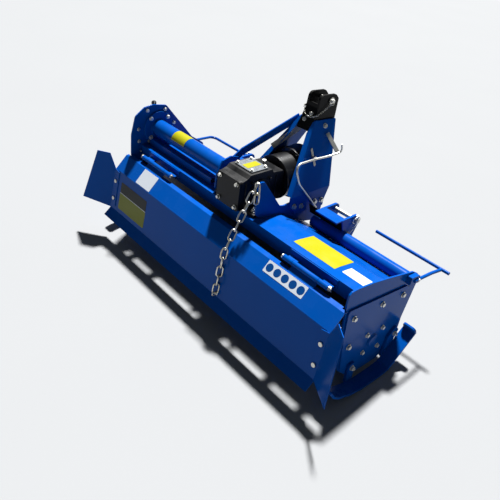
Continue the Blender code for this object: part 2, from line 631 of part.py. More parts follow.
def make_wing(side):
    """The side deflector: a strip bolted on the flap's face, its outer part turned to the rear."""
    name = "wing_right" if side > 0 else "wing_left"
    low, up, out = flap_frame()
    turn, thick = math.radians(35), 0.004
    # (distance up the face, distance outward from the flap's edge)
    outline = [(0.020, -0.042), (0.0, 0.0), (0.010, 0.168), (0.300, 0.118), (0.306, 0.044), (0.229, 0.0), (0.222, -0.042)]
    bm = bmesh.new()
    layers = []
    for level in (GAP, GAP + thick):
        ring = []
        for s, w in outline:
            beyond = max(w, 0.0)
            x = FLAP_HALF + min(w, 0.0) + beyond * math.cos(turn)
            lift = level + beyond * math.sin(turn)
            if w >= 0:
                x -= level * math.tan(turn / 2) if w == 0 else level * math.sin(turn)
                lift += 0.0 if w == 0 else level * (math.cos(turn) - 1)
            spot = low + up * s + out * lift
            ring.append(bm.verts.new((side * x, spot.x - HINGE_Y, spot.y - HINGE_Z)))
        layers.append(ring)
        bm.faces.new((ring[0], ring[1], ring[5], ring[6]))
        bm.faces.new((ring[1], ring[2], ring[3], ring[4], ring[5]))
    for i in range(len(outline)):
        j = (i + 1) % len(outline)
        bm.faces.new((layers[0][i], layers[0][j], layers[1][j], layers[1][i]))
    wing = add(name, finish_mesh(bm, "plate"), BLUE)
    wing.location = (0, HINGE_Y, HINGE_Z)
    return wing


def make_chain():
    """The flap's chain as a plain bar: from the bracket's hook over the upper fold to the flap's foot."""
    low, up, out = flap_frame()
    slope = (Vector(FLAP_LIP) - Vector(FLAP_HIGH_FOLD)).normalized()
    fold = Vector(FLAP_HIGH_FOLD)
    above = fold + Vector((-slope.y, slope.x)) * CHAIN_OFF
    below = fold + out * CHAIN_OFF
    foot = low + up * 0.030 + out * CHAIN_OFF
    head = Vector((-0.1040, 0.652))
    route = [(0.1455, *head), (0.153, *head.lerp(above, 0.5)), (0.1605, *above)]
    route += [(0.1605, *below), (0.1600, *below.lerp(foot, 0.5)), (0.1620, *foot)]
    chain = add("flap_chain", pipe("chain", route, 0.006, 12), ZINC)
    return chain


def make_rotor_shaft():
    shaft = add("rotor_shaft", rod("core", "X", (0, 0), CORE_R, 0.039 - PLATE_IN, PLATE_IN - 0.039, 32), STEEL)
    shaft.location = (0, AXLE_Y, AXLE_Z)
    for name, low, high in (("end_r", PLATE_IN - 0.047, PLATE_IN + 2 * PLATE_T - GAP), ("end_l", -PLATE_IN - PLATE_T - 0.015, 0.047 - PLATE_IN)):
        union(shaft, moved_helper(rod(name, "X", (0, 0), JOURNAL_R, low, high, 32), shaft))
    return shaft


def make_blades(index, x):
    """One flange of the rotor with its six bent blades, three turned each way."""
    flange = add(f"rotor_flange_{index + 1}", rod("disc", "X", (0, 0), 0.072, -0.006, 0.006, 36), STEEL)
    flange.location = (x, AXLE_Y, AXLE_Z)
    for k in range(6):
        way = 1 if k % 2 else -1
        path = [(0.058, 0.0), (ROTOR_R - 0.022, 0.0), (ROTOR_R - 0.004, way * 0.022), (ROTOR_R - 0.004, way * 0.062)]
        section = folded(path, BLADE_T, way)
        bm = bmesh.new()
        ends = []
        for edge in (-0.020, 0.020):
            ends.append([bm.verts.new((t + way * BLADE_T / -2, edge, r)) for r, t in section])
            bm.faces.new(ends[-1])
        for i in range(len(section)):
            j = (i + 1) % len(section)
            bm.faces.new((ends[0][i], ends[0][j], ends[1][j], ends[1][i]))
        blade = finish_mesh(bm, f"blade_{k}")
        turn = math.radians(60 * k + 20 * index)
        blade.transform(Matrix.Rotation(turn, 4, "X"))
        boolean(flange, moved_helper(blade, flange), "UNION")
    bore = rod("bore", "X", (0, 0), CORE_R + GAP, -0.05, 0.05, 32)
    boolean(flange, moved_helper(bore, flange), "DIFFERENCE")
    return flange


def make_shaft_rest():
    """The bent wire that holds the drive shaft up: its clip and its link are on the right mast leg."""
    route = [(0.150, 0.432, 0.714), (0.138, 0.375, 0.704), (0.126, 0.287, 0.701), (0.136, 0.145, 0.706)]
    route += [(0.162, 0.165, 0.615), (0.172, 0.307, 0.457)]
    rest = add("shaft_rest", pipe("wire", route, 0.005, 12, 0.035, 6), ZINC)
    union(rest, bar_between("link", Vector((0.0800, 0.402, 0.795)), Vector((0.150, 0.427, 0.711)), 0.005, 0.022))
    outline = [(0.285, 0.741), (0.297, 0.745), (0.309, 0.664), (0.296, 0.660)]
    face = BRACKET_X + BRACKET_T + GAP + LEG_T + GAP
    clip = lean_like_leg(prism("clip", rounded(outline, 0.004, 2), face, face + 0.004))
    post = block("post", (0.1065, 0.128), (0.286, 0.306), (0.6955, 0.7065))
    return union(rest, clip, post)


def main():
    make_deck()
    make_stiffener()
    make_end_plate()
    make_side_plate()
    make_case_plate()
    make_gear_case()
    make_drive_tube()
    make_gearbox()
    make_gearbox_cover()
    make_pto_guard()
    make_pto_shaft()
    make_clevis()
    make_top_pin()
    make_stay()
    for side in (1, -1):
        make_beam(side)
        make_bearing(side)
        make_bracket(side)
        make_leg(side)
        make_hitch(side)
        make_hitch_pin(side)
        make_front_guard(side)
        make_skid(side)
        make_hinge_bracket(side)
        make_hinge_pin(side)
        make_wing(side)
    make_flap()
    make_chain()
    make_shaft_rest()
    make_rotor_shaft()
    for index in range(FLANGES):
        make_blades(index, (index - (FLANGES - 1) / 2) * FLANGE_PITCH)
    wing = bpy.data.objects["wing_right"]
    rear = HINGE_Y + min(vert.co.y for vert in wing.data.vertices)
    middle = (GUARD_Y + GUARD_R + rear) / 2
    for obj in bpy.data.objects:
        if obj.parent is None:
            obj.location.y -= middle


clear_scene()
TILLER = collection("rotary_tiller")
HELPERS = collection("cutters", hidden=True)
main()
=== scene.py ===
"""The rotary tiller's looks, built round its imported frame.

Lengths are in metres. +X is the machine's right, +Y forward to the tractor, +Z up, the floor at zero.
Places given as (y, z) or (x, y, z) count y from the drive tube's axis. Bench.at moves them into the frame.
"""

import json
import logging
import math
from collections.abc import Callable, Iterable, Iterator
from contextlib import AbstractContextManager, contextmanager
from dataclasses import dataclass
from enum import Enum

import bmesh
import bpy
from mathutils import Matrix, Vector

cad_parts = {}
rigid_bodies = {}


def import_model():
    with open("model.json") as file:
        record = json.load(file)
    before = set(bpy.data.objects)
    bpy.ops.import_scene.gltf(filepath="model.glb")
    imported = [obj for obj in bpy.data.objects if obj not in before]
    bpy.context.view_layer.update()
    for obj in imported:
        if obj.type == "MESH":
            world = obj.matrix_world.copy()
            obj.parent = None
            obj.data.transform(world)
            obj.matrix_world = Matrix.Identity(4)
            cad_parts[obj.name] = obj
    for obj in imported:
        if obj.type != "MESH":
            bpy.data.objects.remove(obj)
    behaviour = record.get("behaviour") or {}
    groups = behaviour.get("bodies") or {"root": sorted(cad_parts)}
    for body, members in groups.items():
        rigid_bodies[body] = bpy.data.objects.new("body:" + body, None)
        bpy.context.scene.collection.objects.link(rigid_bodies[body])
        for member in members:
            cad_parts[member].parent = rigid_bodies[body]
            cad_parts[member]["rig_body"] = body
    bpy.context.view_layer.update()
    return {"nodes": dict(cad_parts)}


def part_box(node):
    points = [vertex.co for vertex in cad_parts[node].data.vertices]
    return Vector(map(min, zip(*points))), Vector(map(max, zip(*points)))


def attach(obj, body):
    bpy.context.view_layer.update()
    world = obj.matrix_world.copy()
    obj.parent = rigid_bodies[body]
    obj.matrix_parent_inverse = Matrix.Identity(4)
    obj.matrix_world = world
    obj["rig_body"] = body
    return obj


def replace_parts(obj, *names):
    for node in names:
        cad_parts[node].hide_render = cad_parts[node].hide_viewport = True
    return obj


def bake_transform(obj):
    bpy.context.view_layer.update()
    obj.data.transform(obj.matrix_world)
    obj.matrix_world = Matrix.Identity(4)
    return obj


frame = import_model()

log = logging.getLogger("tiller")

Colour = tuple[float, float, float]
Pair = tuple[float, float]
Point = tuple[float, float, float]
Spot = tuple[Point, Point]
Edge = tuple[float, int, float]

TUBE_Z = 0.585  # the drive tube's axis above the floor
AXLE = (0.084, 0.171)  # the rotor's axis, (y, z)
BEAM = (0.275, 0.407)  # the front beams' axis, (y, z)
QUARTER = math.pi / 2
SQUARE = ((-0.052, 0.637), (0.052, 0.637), (-0.052, 0.533), (0.052, 0.533))  # the gearbox's side bolts
SIDES = {1: "right", -1: "left"}
FACING = 0.9  # the least cosine between a direction and the faces that look along it
ORIGIN = (0.0, 0.0, 0.0)
RIGHT, FRONT, UP = Vector((1.0, 0.0, 0.0)), Vector((0.0, 1.0, 0.0)), Vector((0.0, 0.0, 1.0))


def middle(node: str) -> Vector:
    """The middle of a CAD node's box."""
    low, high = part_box(node)
    return (low + high) / 2


DRIVE_Y = middle("drive_tube").y
HINGE_PIN = middle("hinge_pin_right")


# ---- shader maths


class Socket:
    """A shader value that takes part in arithmetic."""

    def __init__(self, graph: "Graph", socket: bpy.types.NodeSocket) -> None:
        """Keeps the graph that the value belongs to and its output."""
        self.graph = graph
        self.socket = socket

    def __add__(self, other: "Socket | float") -> "Socket":
        """This value plus another."""
        return self.graph.maths("ADD", self, other)

    def __sub__(self, other: "Socket | float") -> "Socket":
        """This value minus another."""
        return self.graph.maths("SUBTRACT", self, other)

    def __rsub__(self, other: float) -> "Socket":
        """A number minus this value."""
        return self.graph.maths("SUBTRACT", other, self)

    def __mul__(self, other: "Socket | float") -> "Socket":
        """This value times another."""
        return self.graph.maths("MULTIPLY", self, other)

    __radd__ = __add__
    __rmul__ = __mul__


class Graph:
    """The node tree of one material."""

    def __init__(self, name: str) -> None:
        """Starts an empty tree with a shader and its output.

        Args:
            name: the material's name.
        """
        self.material = bpy.data.materials.new(name)
        self.material.use_nodes = True
        self.tree = self.material.node_tree
        self.shader = self.tree.nodes["Principled BSDF"]
        self.place = self.node("ShaderNodeTexCoord", out="Object")

    def node(
        self, kind: str, settings: dict | None = None, inputs: dict | None = None, out: int | str = 0
    ) -> Socket:
        """Adds a node.

        Args:
            kind: the node's type.
            settings: its properties, or "stops" for a ramp's (place, grey) pairs.
            inputs: values or links by socket name or number.
            out: which output to return.

        Returns:
            The chosen output.
        """
        made = self.tree.nodes.new(kind)
        for key, value in (settings or {}).items():
            if key != "stops":
                setattr(made, key, value)
                continue
            for i, (at, grey) in enumerate(value):
                stops = made.color_ramp.elements
                stop = stops[i] if i < 2 else stops.new(at)
                stop.position, stop.color = at, (grey, grey, grey, 1.0)
        for key, value in (inputs or {}).items():
            if isinstance(value, Socket):
                self.tree.links.new(value.socket, made.inputs[key])
            else:
                made.inputs[key].default_value = value
        return Socket(self, made.outputs[out])

    def maths(self, operation: str, first: "Socket | float", second: "Socket | float" = 0.0) -> Socket:
        """One Math node on two values."""
        return self.node("ShaderNodeMath", {"operation": operation}, {0: first, 1: second})

    def clamped(self, value: Socket) -> Socket:
        """The value held between 0 and 1."""
        return self.node("ShaderNodeClamp", inputs={0: value})

    def noise(
        self, scale: float, detail: float = 3.0, stretch: Point = (1.0, 1.0, 1.0), rough: float = 0.5
    ) -> Socket:
        """Noise in the piece's own space.

        Args:
            scale: cells to the metre.
            detail: octaves.
            stretch: a further scale along each axis.
            rough: how strong the fine octaves are.

        Returns:
            The noise value, about 0.5 on average.
        """
        where = self.node("ShaderNodeMapping", inputs={"Vector": self.place, "Scale": stretch})
        inputs = {"Vector": where, "Scale": scale, "Detail": detail, "Roughness": rough}
        return self.node("ShaderNodeTexNoise", inputs=inputs)

    def cells(self, scale: float) -> Socket:
        """Distance to the nearest of many scattered points."""
        return self.node("ShaderNodeTexVoronoi", inputs={"Vector": self.place, "Scale": scale})

    def ramp(self, value: Socket, *stops: Pair) -> Socket:
        """The value passed through grey stops."""
        return self.node("ShaderNodeValToRGB", {"stops": stops}, {0: value})

    def blend(self, share: "Socket | float", first: "Socket | Colour", second: "Socket | Colour") -> Socket:
        """A colour mixed from two.

        Args:
            share: how much of the second one.
            first: a colour.
            second: another.

        Returns:
            The mixed colour.
        """
        colours = [c if isinstance(c, Socket) else (*c, 1.0) for c in (first, second)]
        inputs = {0: share, 6: colours[0], 7: colours[1]}
        return self.node("ShaderNodeMix", {"data_type": "RGBA"}, inputs, out=2)

    def facing_up(self) -> Socket:
        """1 on faces that look up at rest, 0 on upright ones and below."""
        normal = self.node("ShaderNodeTexCoord", out="Normal")
        upward = self.node("ShaderNodeSeparateXYZ", inputs={0: normal}, out=2)
        return self.clamped(upward * 1.6 - 0.4)

    def edges(self, reach: float) -> Socket:
        """1 near an outer or inner edge, 0 on open faces.

        Args:
            reach: how far from the edge it looks.

        Returns:
            The mask.
        """
        rounded = self.node("ShaderNodeBevel", {"samples": 4}, {"Radius": reach})
        true = self.node("ShaderNodeNewGeometry", out="Normal")
        product = {"operation": "DOT_PRODUCT"}
        alike = self.node("ShaderNodeVectorMath", product, {0: rounded, 1: true}, out="Value")
        return self.clamped((1.0 - alike) * 12.0)

    def bump(self, height: Socket, strength: float, depth: float, under: Socket | None = None) -> Socket:
        """A bump, laid over an earlier one if given.

        Args:
            height: the pattern.
            strength: its share.
            depth: its depth in metres.
            under: the bump below it.

        Returns:
            The bumped normal.
        """
        inputs = {"Height": height, "Strength": strength, "Distance": depth}
        if under is not None:
            inputs["Normal"] = under
        return self.node("ShaderNodeBump", inputs=inputs)

    def feed(self, **values: "Socket | float | Colour") -> None:
        """Sets or links the shader's own sockets, named with underscores for spaces.

        Args:
            values: a number, a colour or a link for each.
        """
        for key, value in values.items():
            socket = self.shader.inputs[key.replace("_", " ")]
            if isinstance(value, Socket):
                self.tree.links.new(value.socket, socket)
            else:
                socket.default_value = (*value, 1.0) if isinstance(value, tuple) else value


# ---- finishes


@dataclass(frozen=True)
class Finish:
    """A named surface with its main colour and its slot in the record."""

    name: str
    colour: Colour
    rough: float
    slot: str | None = None

    def material(self) -> bpy.types.Material:
        """The finish's material, made at its first use."""
        found = bpy.data.materials.get(self.name)
        if found is None:
            graph = Graph(self.name)
            self.dress(graph)
            found = graph.material
            found.diffuse_color = (*self.colour, 1.0)
        return found

    def shade(self, factor: float) -> Colour:
        """The main colour made darker or lighter."""
        return tuple(min(1.0, c * factor) for c in self.colour)

    def dress(self, graph: Graph) -> None:
        """Wires the surface into the graph. Each kind of finish has its own."""
        raise NotImplementedError


@dataclass(frozen=True)
class Enamel(Finish):
    """Glossy sprayed enamel on sheet steel, with a little yard dust on what looks up."""

    coat: float = 0.06
    dust: float = 0.012
    # how much lighter the edges are painted: partly wear, partly a painted highlight along every edge
    edge: float = 1.5
    dust_colour: Colour = (0.36, 0.33, 0.29)

    def dress(self, graph: Graph) -> None:
        """Wires colour drift, dust, edges lightened partly as wear and partly as painted highlight, orange
        peel and the sheet's slight waviness.

        Args:
            graph: the material's graph.
        """
        drift = graph.noise(2.3, 4.0)
        tone = graph.blend(graph.ramp(drift, (0.30, 0.0), (0.72, 1.0)), self.colour, self.shade(0.90))
        # edges lightened towards a brighter tone of the same paint: partly wear, partly painted highlight
        edge_wear_and_highlight = graph.edges(0.0016) * graph.ramp(graph.noise(26.0), (0.35, 0.25), (0.65, 0.9))
        tone = graph.blend(edge_wear_and_highlight * 0.55, tone, self.shade(self.edge))
        settled = graph.ramp(graph.noise(11.0, 6.0, rough=0.62), (0.38, 0.0), (0.75, 1.0)) * graph.facing_up()
        specks = graph.ramp(graph.noise(160.0, 2.0), (0.70, 0.0), (0.78, 1.0))
        dusty = graph.clamped(settled * self.dust + specks * self.dust * 0.5)
        tone = graph.blend(dusty, tone, self.dust_colour)
        smears = graph.noise(5.0, 5.0, (1.0, 3.5, 1.0))
        peel = graph.bump(graph.noise(420.0, 2.0), 0.05, 0.0004)
        graph.feed(
            Base_Color=tone,
            Roughness=graph.clamped(smears * 0.14 + settled * 0.22 + (self.rough - 0.07)),
            Coat_Weight=self.coat,
            Coat_Roughness=0.07,
            Specular_IOR_Level=0.045,
            Normal=graph.bump(graph.noise(5.5, 1.0), 0.07, 0.004, peel),
        )


@dataclass(frozen=True)
class CastBlack(Finish):
    """Black paint over a sand casting: a pitted skin with worn high spots."""

    grain: float = 0.5

    def dress(self, graph: Graph) -> None:
        """Wires the pits, the grain and the grey rub marks.

        Args:
            graph: the material's graph.
        """
        pits = graph.cells(210.0)
        grain = graph.noise(95.0, 6.0, rough=0.65)
        edge_wear_and_highlight = graph.edges(0.0022) * graph.ramp(graph.noise(34.0), (0.40, 0.0), (0.62, 1.0))
        tone = graph.blend(graph.ramp(grain, (0.35, 0.0), (0.7, 1.0)), self.shade(0.6), self.shade(1.7))
        dusty = graph.ramp(graph.noise(8.0, 5.0), (0.35, 0.0), (0.75, 0.32)) * graph.facing_up()
        tone = graph.blend(graph.clamped(dusty + edge_wear_and_highlight * 0.5), tone, (0.16, 0.155, 0.15))
        graph.feed(
            Base_Color=tone,
            Roughness=graph.clamped(grain * 0.25 + dusty * 0.3 + (self.rough - 0.12)),
            Coat_Weight=0.03,
            Coat_Roughness=0.15,
            Specular_IOR_Level=0.14,
            Normal=graph.bump(pits, 0.10 * self.grain, 0.0010, graph.bump(grain, 0.35 * self.grain, 0.0012)),
        )


@dataclass(frozen=True)
class Zinc(Finish):
    """Bright zinc plate with cloudy passivation and fine handling marks."""

    clouds: float = 1.0

    def dress(self, graph: Graph) -> None:
        """Wires the yellowish clouds, the dull spots and the scratches.

        Args:
            graph: the material's graph.
        """
        cloud = graph.ramp(graph.noise(28.0, 4.0), (0.38, 0.0), (0.66, 1.0))
        tone = graph.blend(cloud * (0.55 * self.clouds), self.colour, (0.56, 0.50, 0.36))
        grime = graph.ramp(graph.noise(75.0, 5.0, rough=0.7), (0.52, 0.0), (0.78, 1.0))
        tone = graph.blend(grime * 0.55, tone, (0.14, 0.13, 0.12))
        scratch = graph.noise(380.0, 2.0, (1.0, 0.06, 1.0))
        graph.feed(
            Base_Color=tone,
            Metallic=graph.clamped(1.0 - grime * 0.45),
            Roughness=graph.clamped(scratch * 0.20 + grime * 0.25 + (self.rough - 0.1)),
            Normal=graph.bump(scratch, 0.12, 0.0003, graph.bump(grime, 0.10, 0.0004)),
        )


@dataclass(frozen=True)
class Forged(Finish):
    """Forged blade steel: dark mill scale, worn brighter along the edges."""

    bright: Colour = (0.42, 0.40, 0.37)

    def dress(self, graph: Graph) -> None:
        """Wires the scale, the bright edge and the pits.

        Args:
            graph: the material's graph.
        """
        scale = graph.noise(46.0, 7.0, rough=0.68)
        worn = graph.clamped(graph.edges(0.004) * graph.ramp(graph.noise(18.0, 4.0), (0.3, 0.4), (0.7, 1.0)))
        tone = graph.blend(graph.ramp(scale, (0.32, 0.0), (0.72, 1.0)), self.shade(0.55), self.shade(1.6))
        rust = graph.ramp(graph.noise(21.0, 6.0), (0.60, 0.0), (0.74, 0.45))
        tone = graph.blend(rust, tone, (0.13, 0.055, 0.025))
        graph.feed(
            Base_Color=graph.blend(worn * 0.8, tone, self.bright),
            Metallic=graph.clamped(0.85 - rust * 0.8),
            Roughness=graph.clamped(scale * 0.35 + rust * 0.3 + (self.rough - 0.2) - worn * 0.12),
            Normal=graph.bump(scale, 0.30, 0.0008),
        )


@dataclass(frozen=True)
class Moulded(Finish):
    """Black moulded plastic with a fine leather grain and pale scuffs."""

    def dress(self, graph: Graph) -> None:
        """Wires the grain, the flow marks, a painted highlight along the edges and the scuffs.

        Args:
            graph: the material's graph.
        """
        grain = graph.cells(520.0)
        flow = graph.noise(7.0, 3.0, (1.0, 0.3, 1.0))
        scuff = graph.ramp(graph.noise(60.0, 5.0, (1.0, 4.0, 1.0)), (0.62, 0.0), (0.74, 0.5))
        # pale mixes the real flow marks with a painted highlight: every edge is lightened
        pale = graph.clamped(flow * 0.6 + graph.edges(0.0016) * 0.5)
        tone = graph.blend(pale, self.shade(0.7), self.shade(2.2))
        graph.feed(
            Base_Color=graph.blend(scuff * 0.35, tone, (0.12, 0.12, 0.125)),
            Roughness=graph.clamped(flow * 0.20 + scuff * 0.2 + (self.rough - 0.1)),
            Specular_IOR_Level=0.5,
            Normal=graph.bump(grain, 0.12, 0.0004),
        )


@dataclass(frozen=True)
class Vinyl(Finish):
    """A printed vinyl sheet, plain, with soft fading and rubbed patches."""

    fade: Colour = (0.8, 0.8, 0.8)

    def dress(self, graph: Graph) -> None:
        """Wires the fade, the dirt and the film's slight ripple.

        Args:
            graph: the material's graph.
        """
        faded = graph.ramp(graph.noise(14.0, 4.0), (0.36, 0.0), (0.74, 0.5))
        dirt = graph.ramp(graph.noise(85.0, 5.0), (0.62, 0.0), (0.80, 0.45))
        tone = graph.blend(faded * 0.5, self.colour, self.fade)
        graph.feed(
            Base_Color=graph.blend(dirt, tone, self.shade(0.62)),
            Roughness=graph.clamped(faded * 0.25 + dirt * 0.2 + (self.rough - 0.05)),
            Coat_Weight=0.06,
            Specular_IOR_Level=0.12,
            Normal=graph.bump(graph.noise(60.0, 1.0), 0.08, 0.0004),
        )


@dataclass(frozen=True)
class Ground(Finish):
    """The studio's pale floor."""

    def dress(self, graph: Graph) -> None:
        """Wires a very faint mottle so that the floor isn't one flat tone.

        Args:
            graph: the material's graph.
        """
        mottle = graph.noise(0.8, 4.0)
        graph.feed(
            Base_Color=graph.blend(mottle, self.colour, self.shade(0.985)),
            Roughness=graph.clamped(mottle * 0.1 + self.rough),
            Specular_IOR_Level=0.2,
        )


class Coat(Enum):
    """The finishes that the machine's pieces choose from."""

    BLUE = Enamel("blue_enamel", (0.000124, 0.067, 0.335), 0.20, "blue_paint")
    BLACK = Enamel("black_enamel", (0.00341, 0.00372, 0.00434), 0.34, "black_paint", 0.08, 0.05, 6.0)
    CAST = CastBlack("gearbox_casting", (0.00174, 0.00211, 0.00279), 0.36, "black_paint")
    COVER = CastBlack("top_cover_grey", (0.132, 0.147, 0.163), 0.45, "grey_cover", grain=0.35)
    ZINC = Zinc("zinc_plate", (0.72, 0.73, 0.71), 0.30, "zinc_plate")
    CHAIN = Zinc("chain_zinc", (0.66, 0.66, 0.62), 0.34, "zinc_plate", clouds=1.6)
    STEEL = Forged("blade_steel", (0.12, 0.105, 0.09), 0.52, "blade_steel")
    GUARD = Moulded("guard_plastic", (0.00372, 0.00403, 0.00434), 0.32, "black_paint")
    YELLOW = Vinyl("yellow_vinyl", (0.322, 0.304, 0.00372), 0.38, None, (0.347, 0.329, 0.031))
    WHITE = Vinyl("white_vinyl", (0.496, 0.533, 0.589), 0.36, None, (0.521, 0.546, 0.57))
    DISC = Vinyl("blue_print", (0.00186, 0.0434, 0.186), 0.34, None, (0.0062, 0.0558, 0.211))
    OLIVE = Vinyl("olive_plate", (0.161, 0.18, 0.0217), 0.42, None, (0.186, 0.205, 0.031))
    NIGHT = Vinyl("plate_band", (0.00372, 0.00744, 0.00992), 0.35, None, (0.0124, 0.0186, 0.0217))
    FLOOR = Ground("studio_floor", (0.273, 0.277, 0.281), 0.75)


# ---- the bench


@dataclass(frozen=True)
class Face:
    """A flat face that runs along X, from its low edge to its high edge in (y, z)."""

    low: Pair
    high: Pair

    def matrix(self, x: float, up: float, lift: float = 0.0) -> Matrix:
        """The frame of a spot on the face.

        Args:
            x: the spot's place across the machine.
            up: how far it is up the face.
            lift: how far it stands off.

        Returns:
            A matrix with X across, Y up the face and Z outward.
        """
        run = Vector((0.0, self.high[0] - self.low[0], self.high[1] - self.low[1])).normalized()
        out = Vector((0.0, -run.z, run.y))
        spot = Bench.at((x, *self.low)) + run * up + out * lift
        made = Matrix((RIGHT, run, out)).transposed().to_4x4()
        made.translation = spot
        return made


class Bench:
    """The modelling moves that the sub-assemblies share."""

    @staticmethod
    def at(point: Point) -> Vector:
        """A place counted from the drive tube's axis, in the frame."""
        return Vector((point[0], point[1] + DRIVE_Y, point[2]))

    @staticmethod
    def route(*points: Point) -> list[Vector]:
        """Places counted from the drive tube's axis, in the frame."""
        return [Bench.at(point) for point in points]

    @staticmethod
    def seam(x: float, *places: Pair) -> list[Vector]:
        """A line square to X through (y, z) places."""
        return Bench.route(*((x, y, z) for y, z in places))

    @staticmethod
    def only(*objs: bpy.types.Object) -> None:
        """Selects these objects alone and makes the first one active.

        Args:
            objs: the objects.
        """
        bpy.ops.object.select_all(action="DESELECT")
        for obj in objs:
            obj.select_set(True)
        bpy.context.view_layer.objects.active = objs[0]

    @staticmethod
    def placed() -> bpy.types.Object:
        """The primitive just added, with its place moved into its mesh."""
        obj = bpy.context.object
        Bench.only(obj)
        bpy.ops.object.transform_apply(location=True, rotation=True, scale=True)
        return obj

    @staticmethod
    def cylinder(
        sides: int,
        radius: float,
        depth: float,
        spot: Vector | Point = ORIGIN,
        axis: str = "Z",
        ends: str = "NGON",
    ) -> bpy.types.Object:
        """A cylinder along an axis, to be shaped.

        Args:
            sides: how many sides it has.
            radius: its radius.
            depth: its length.
            spot: its middle.
            axis: X, Y or Z.
            ends: how its ends are filled.

        Returns:
            The cylinder.
        """
        turn = {"X": (0.0, QUARTER, 0.0), "Y": (QUARTER, 0.0, 0.0), "Z": ORIGIN}[axis]
        sizes = {"vertices": sides, "radius": radius, "depth": depth, "end_fill_type": ends}
        bpy.ops.mesh.primitive_cylinder_add(location=spot, rotation=turn, **sizes)
        return Bench.placed()

    @staticmethod
    def block(size: Point, spot: Vector | Point = ORIGIN, turn: Point = ORIGIN) -> bpy.types.Object:
        """A block, to be shaped.

        Args:
            size: its lengths along its own axes.
            spot: its middle.
            turn: its rotation in radians.

        Returns:
            The block.
        """
        bpy.ops.mesh.primitive_cube_add(size=1.0, location=spot, rotation=turn)
        bpy.context.object.scale = size
        return Bench.placed()

    @staticmethod
    def torus(
        radius: float, wire: float, steps: int, sides: int = 8, spot: Point = ORIGIN, turn: Point = ORIGIN
    ) -> bpy.types.Object:
        """A ring of round wire, to be shaped.

        Args:
            radius: the ring's, to the middle of its wire.
            wire: the wire's radius.
            steps: how many steps go round the ring.
            sides: how many sides the wire has.
            spot: the ring's middle.
            turn: its rotation in radians.

        Returns:
            The ring.
        """
        bpy.ops.mesh.primitive_torus_add(
            major_radius=radius,
            minor_radius=wire,
            major_segments=steps,
            minor_segments=sides,
            location=spot,
            rotation=turn,
        )
        return Bench.placed()

    @staticmethod
    def inset(thickness: float) -> None:
        """Insets the selected faces."""
        bpy.ops.mesh.inset(thickness=thickness)

    @staticmethod
    def pull(*way: float) -> None:
        """Extrudes the selection."""
        bpy.ops.mesh.extrude_region_move(TRANSFORM_OT_translate={"value": way})

    @staticmethod
    def shift(*way: float) -> None:
        """Moves the selection."""
        bpy.ops.transform.translate(value=way)

    @staticmethod
    def resize(*share: float) -> None:
        """Scales the selection about its middle."""
        bpy.ops.transform.resize(value=share)

    @staticmethod
    @contextmanager
    def faces(obj: bpy.types.Object, test: Callable[[Vector, Vector], bool]) -> Iterator[None]:
        """Edit mode on one object with the faces that pass a test selected.

        Args:
            obj: the object.
            test: takes a face's middle and its normal.
        """
        with Bench.editing(obj):
            Bench.pick(obj, test)
            yield

    @staticmethod
    def facing(obj: bpy.types.Object, way: Vector) -> AbstractContextManager[None]:
        """Edit mode on one object with the faces that look one way selected."""
        return Bench.faces(obj, lambda c, n: n.dot(way) > FACING)

    @staticmethod
    def domed(obj: bpy.types.Object, way: Vector, edge: float, rise: float) -> None:
        """Insets the faces that look one way and moves what is inside along it.

        Args:
            obj: the object.
            way: the direction.
            edge: the inset's width.
            rise: how far the inside moves.
        """
        with Bench.facing(obj, way):
            Bench.inset(edge)
            Bench.shift(*way * rise)

    @staticmethod
    def finished(
        obj: bpy.types.Object,
        name: str,
        coat: Coat,
        edge: Edge | None = None,
        body: str = "frame",
        angle: float = 50.0,
    ) -> bpy.types.Object:
        """Rounds a piece's edges, smooths it and makes it ready.

        Args:
            obj: the piece, with its place in its mesh.
            name: its name.
            coat: its finish.
            edge: the bevel's width, its segments and the least angle that it rounds.
            body: the body that it moves with.
            angle: the smoothing angle in degrees.

        Returns:
            The piece.
        """
        if edge:
            Bench.bevelled(obj, edge)
        return Bench.ready(Bench.smooth(obj, angle), name, body, coat)

    @staticmethod
    def bevelled(obj: bpy.types.Object, edge: Edge) -> bpy.types.Object:
        """Rounds the edges that are sharper than an angle."""
        width, steps, least = edge
        sizes = {"width": width, "segments": steps, "angle_limit": least}
        return Bench.modified(obj, "BEVEL", limit_method="ANGLE", **sizes)

    @staticmethod
    @contextmanager
    def editing(obj: bpy.types.Object, mode: str = "FACE") -> Iterator[None]:
        """Edit mode on one object with nothing selected.

        Args:
            obj: the object.
            mode: FACE, EDGE or VERT.

        Yields:
            Nothing, while the object is edited.
        """
        Bench.only(obj)
        bpy.ops.object.mode_set(mode="EDIT")
        bpy.ops.mesh.select_mode(type=mode)
        bpy.ops.mesh.select_all(action="DESELECT")
        yield
        bpy.ops.object.mode_set(mode="OBJECT")

    @staticmethod
    def pick(obj: bpy.types.Object, test: Callable[[Vector, Vector], bool], kind: str = "faces") -> None:
        """Selects by place and normal in edit mode.

        Args:
            obj: the object being edited.
            test: takes an element's middle and its normal.
            kind: faces, edges or verts.
        """
        shape = bmesh.from_edit_mesh(obj.data)
        for item in getattr(shape, kind):
            if kind == "faces":
                spot, normal = item.calc_center_median(), item.normal
            elif kind == "edges":
                spot = (item.verts[0].co + item.verts[1].co) / 2
                normal = (item.verts[1].co - item.verts[0].co).normalized()
            else:
                spot, normal = item.co, item.normal
            item.select_set(test(spot, normal))
        shape.select_flush_mode()
        bmesh.update_edit_mesh(obj.data)

    @staticmethod
    def modified(obj: bpy.types.Object, kind: str, **settings: object) -> bpy.types.Object:
        """Adds a modifier and applies it.

        Args:
            obj: the object.
            kind: the modifier's type.
            settings: its properties.

        Returns:
            The object.
        """
        Bench.only(obj)
        modifier = obj.modifiers.new(kind.lower(), kind)
        for key, value in settings.items():
            setattr(modifier, key, value)
        bpy.ops.object.modifier_apply(modifier=modifier.name)
        return obj

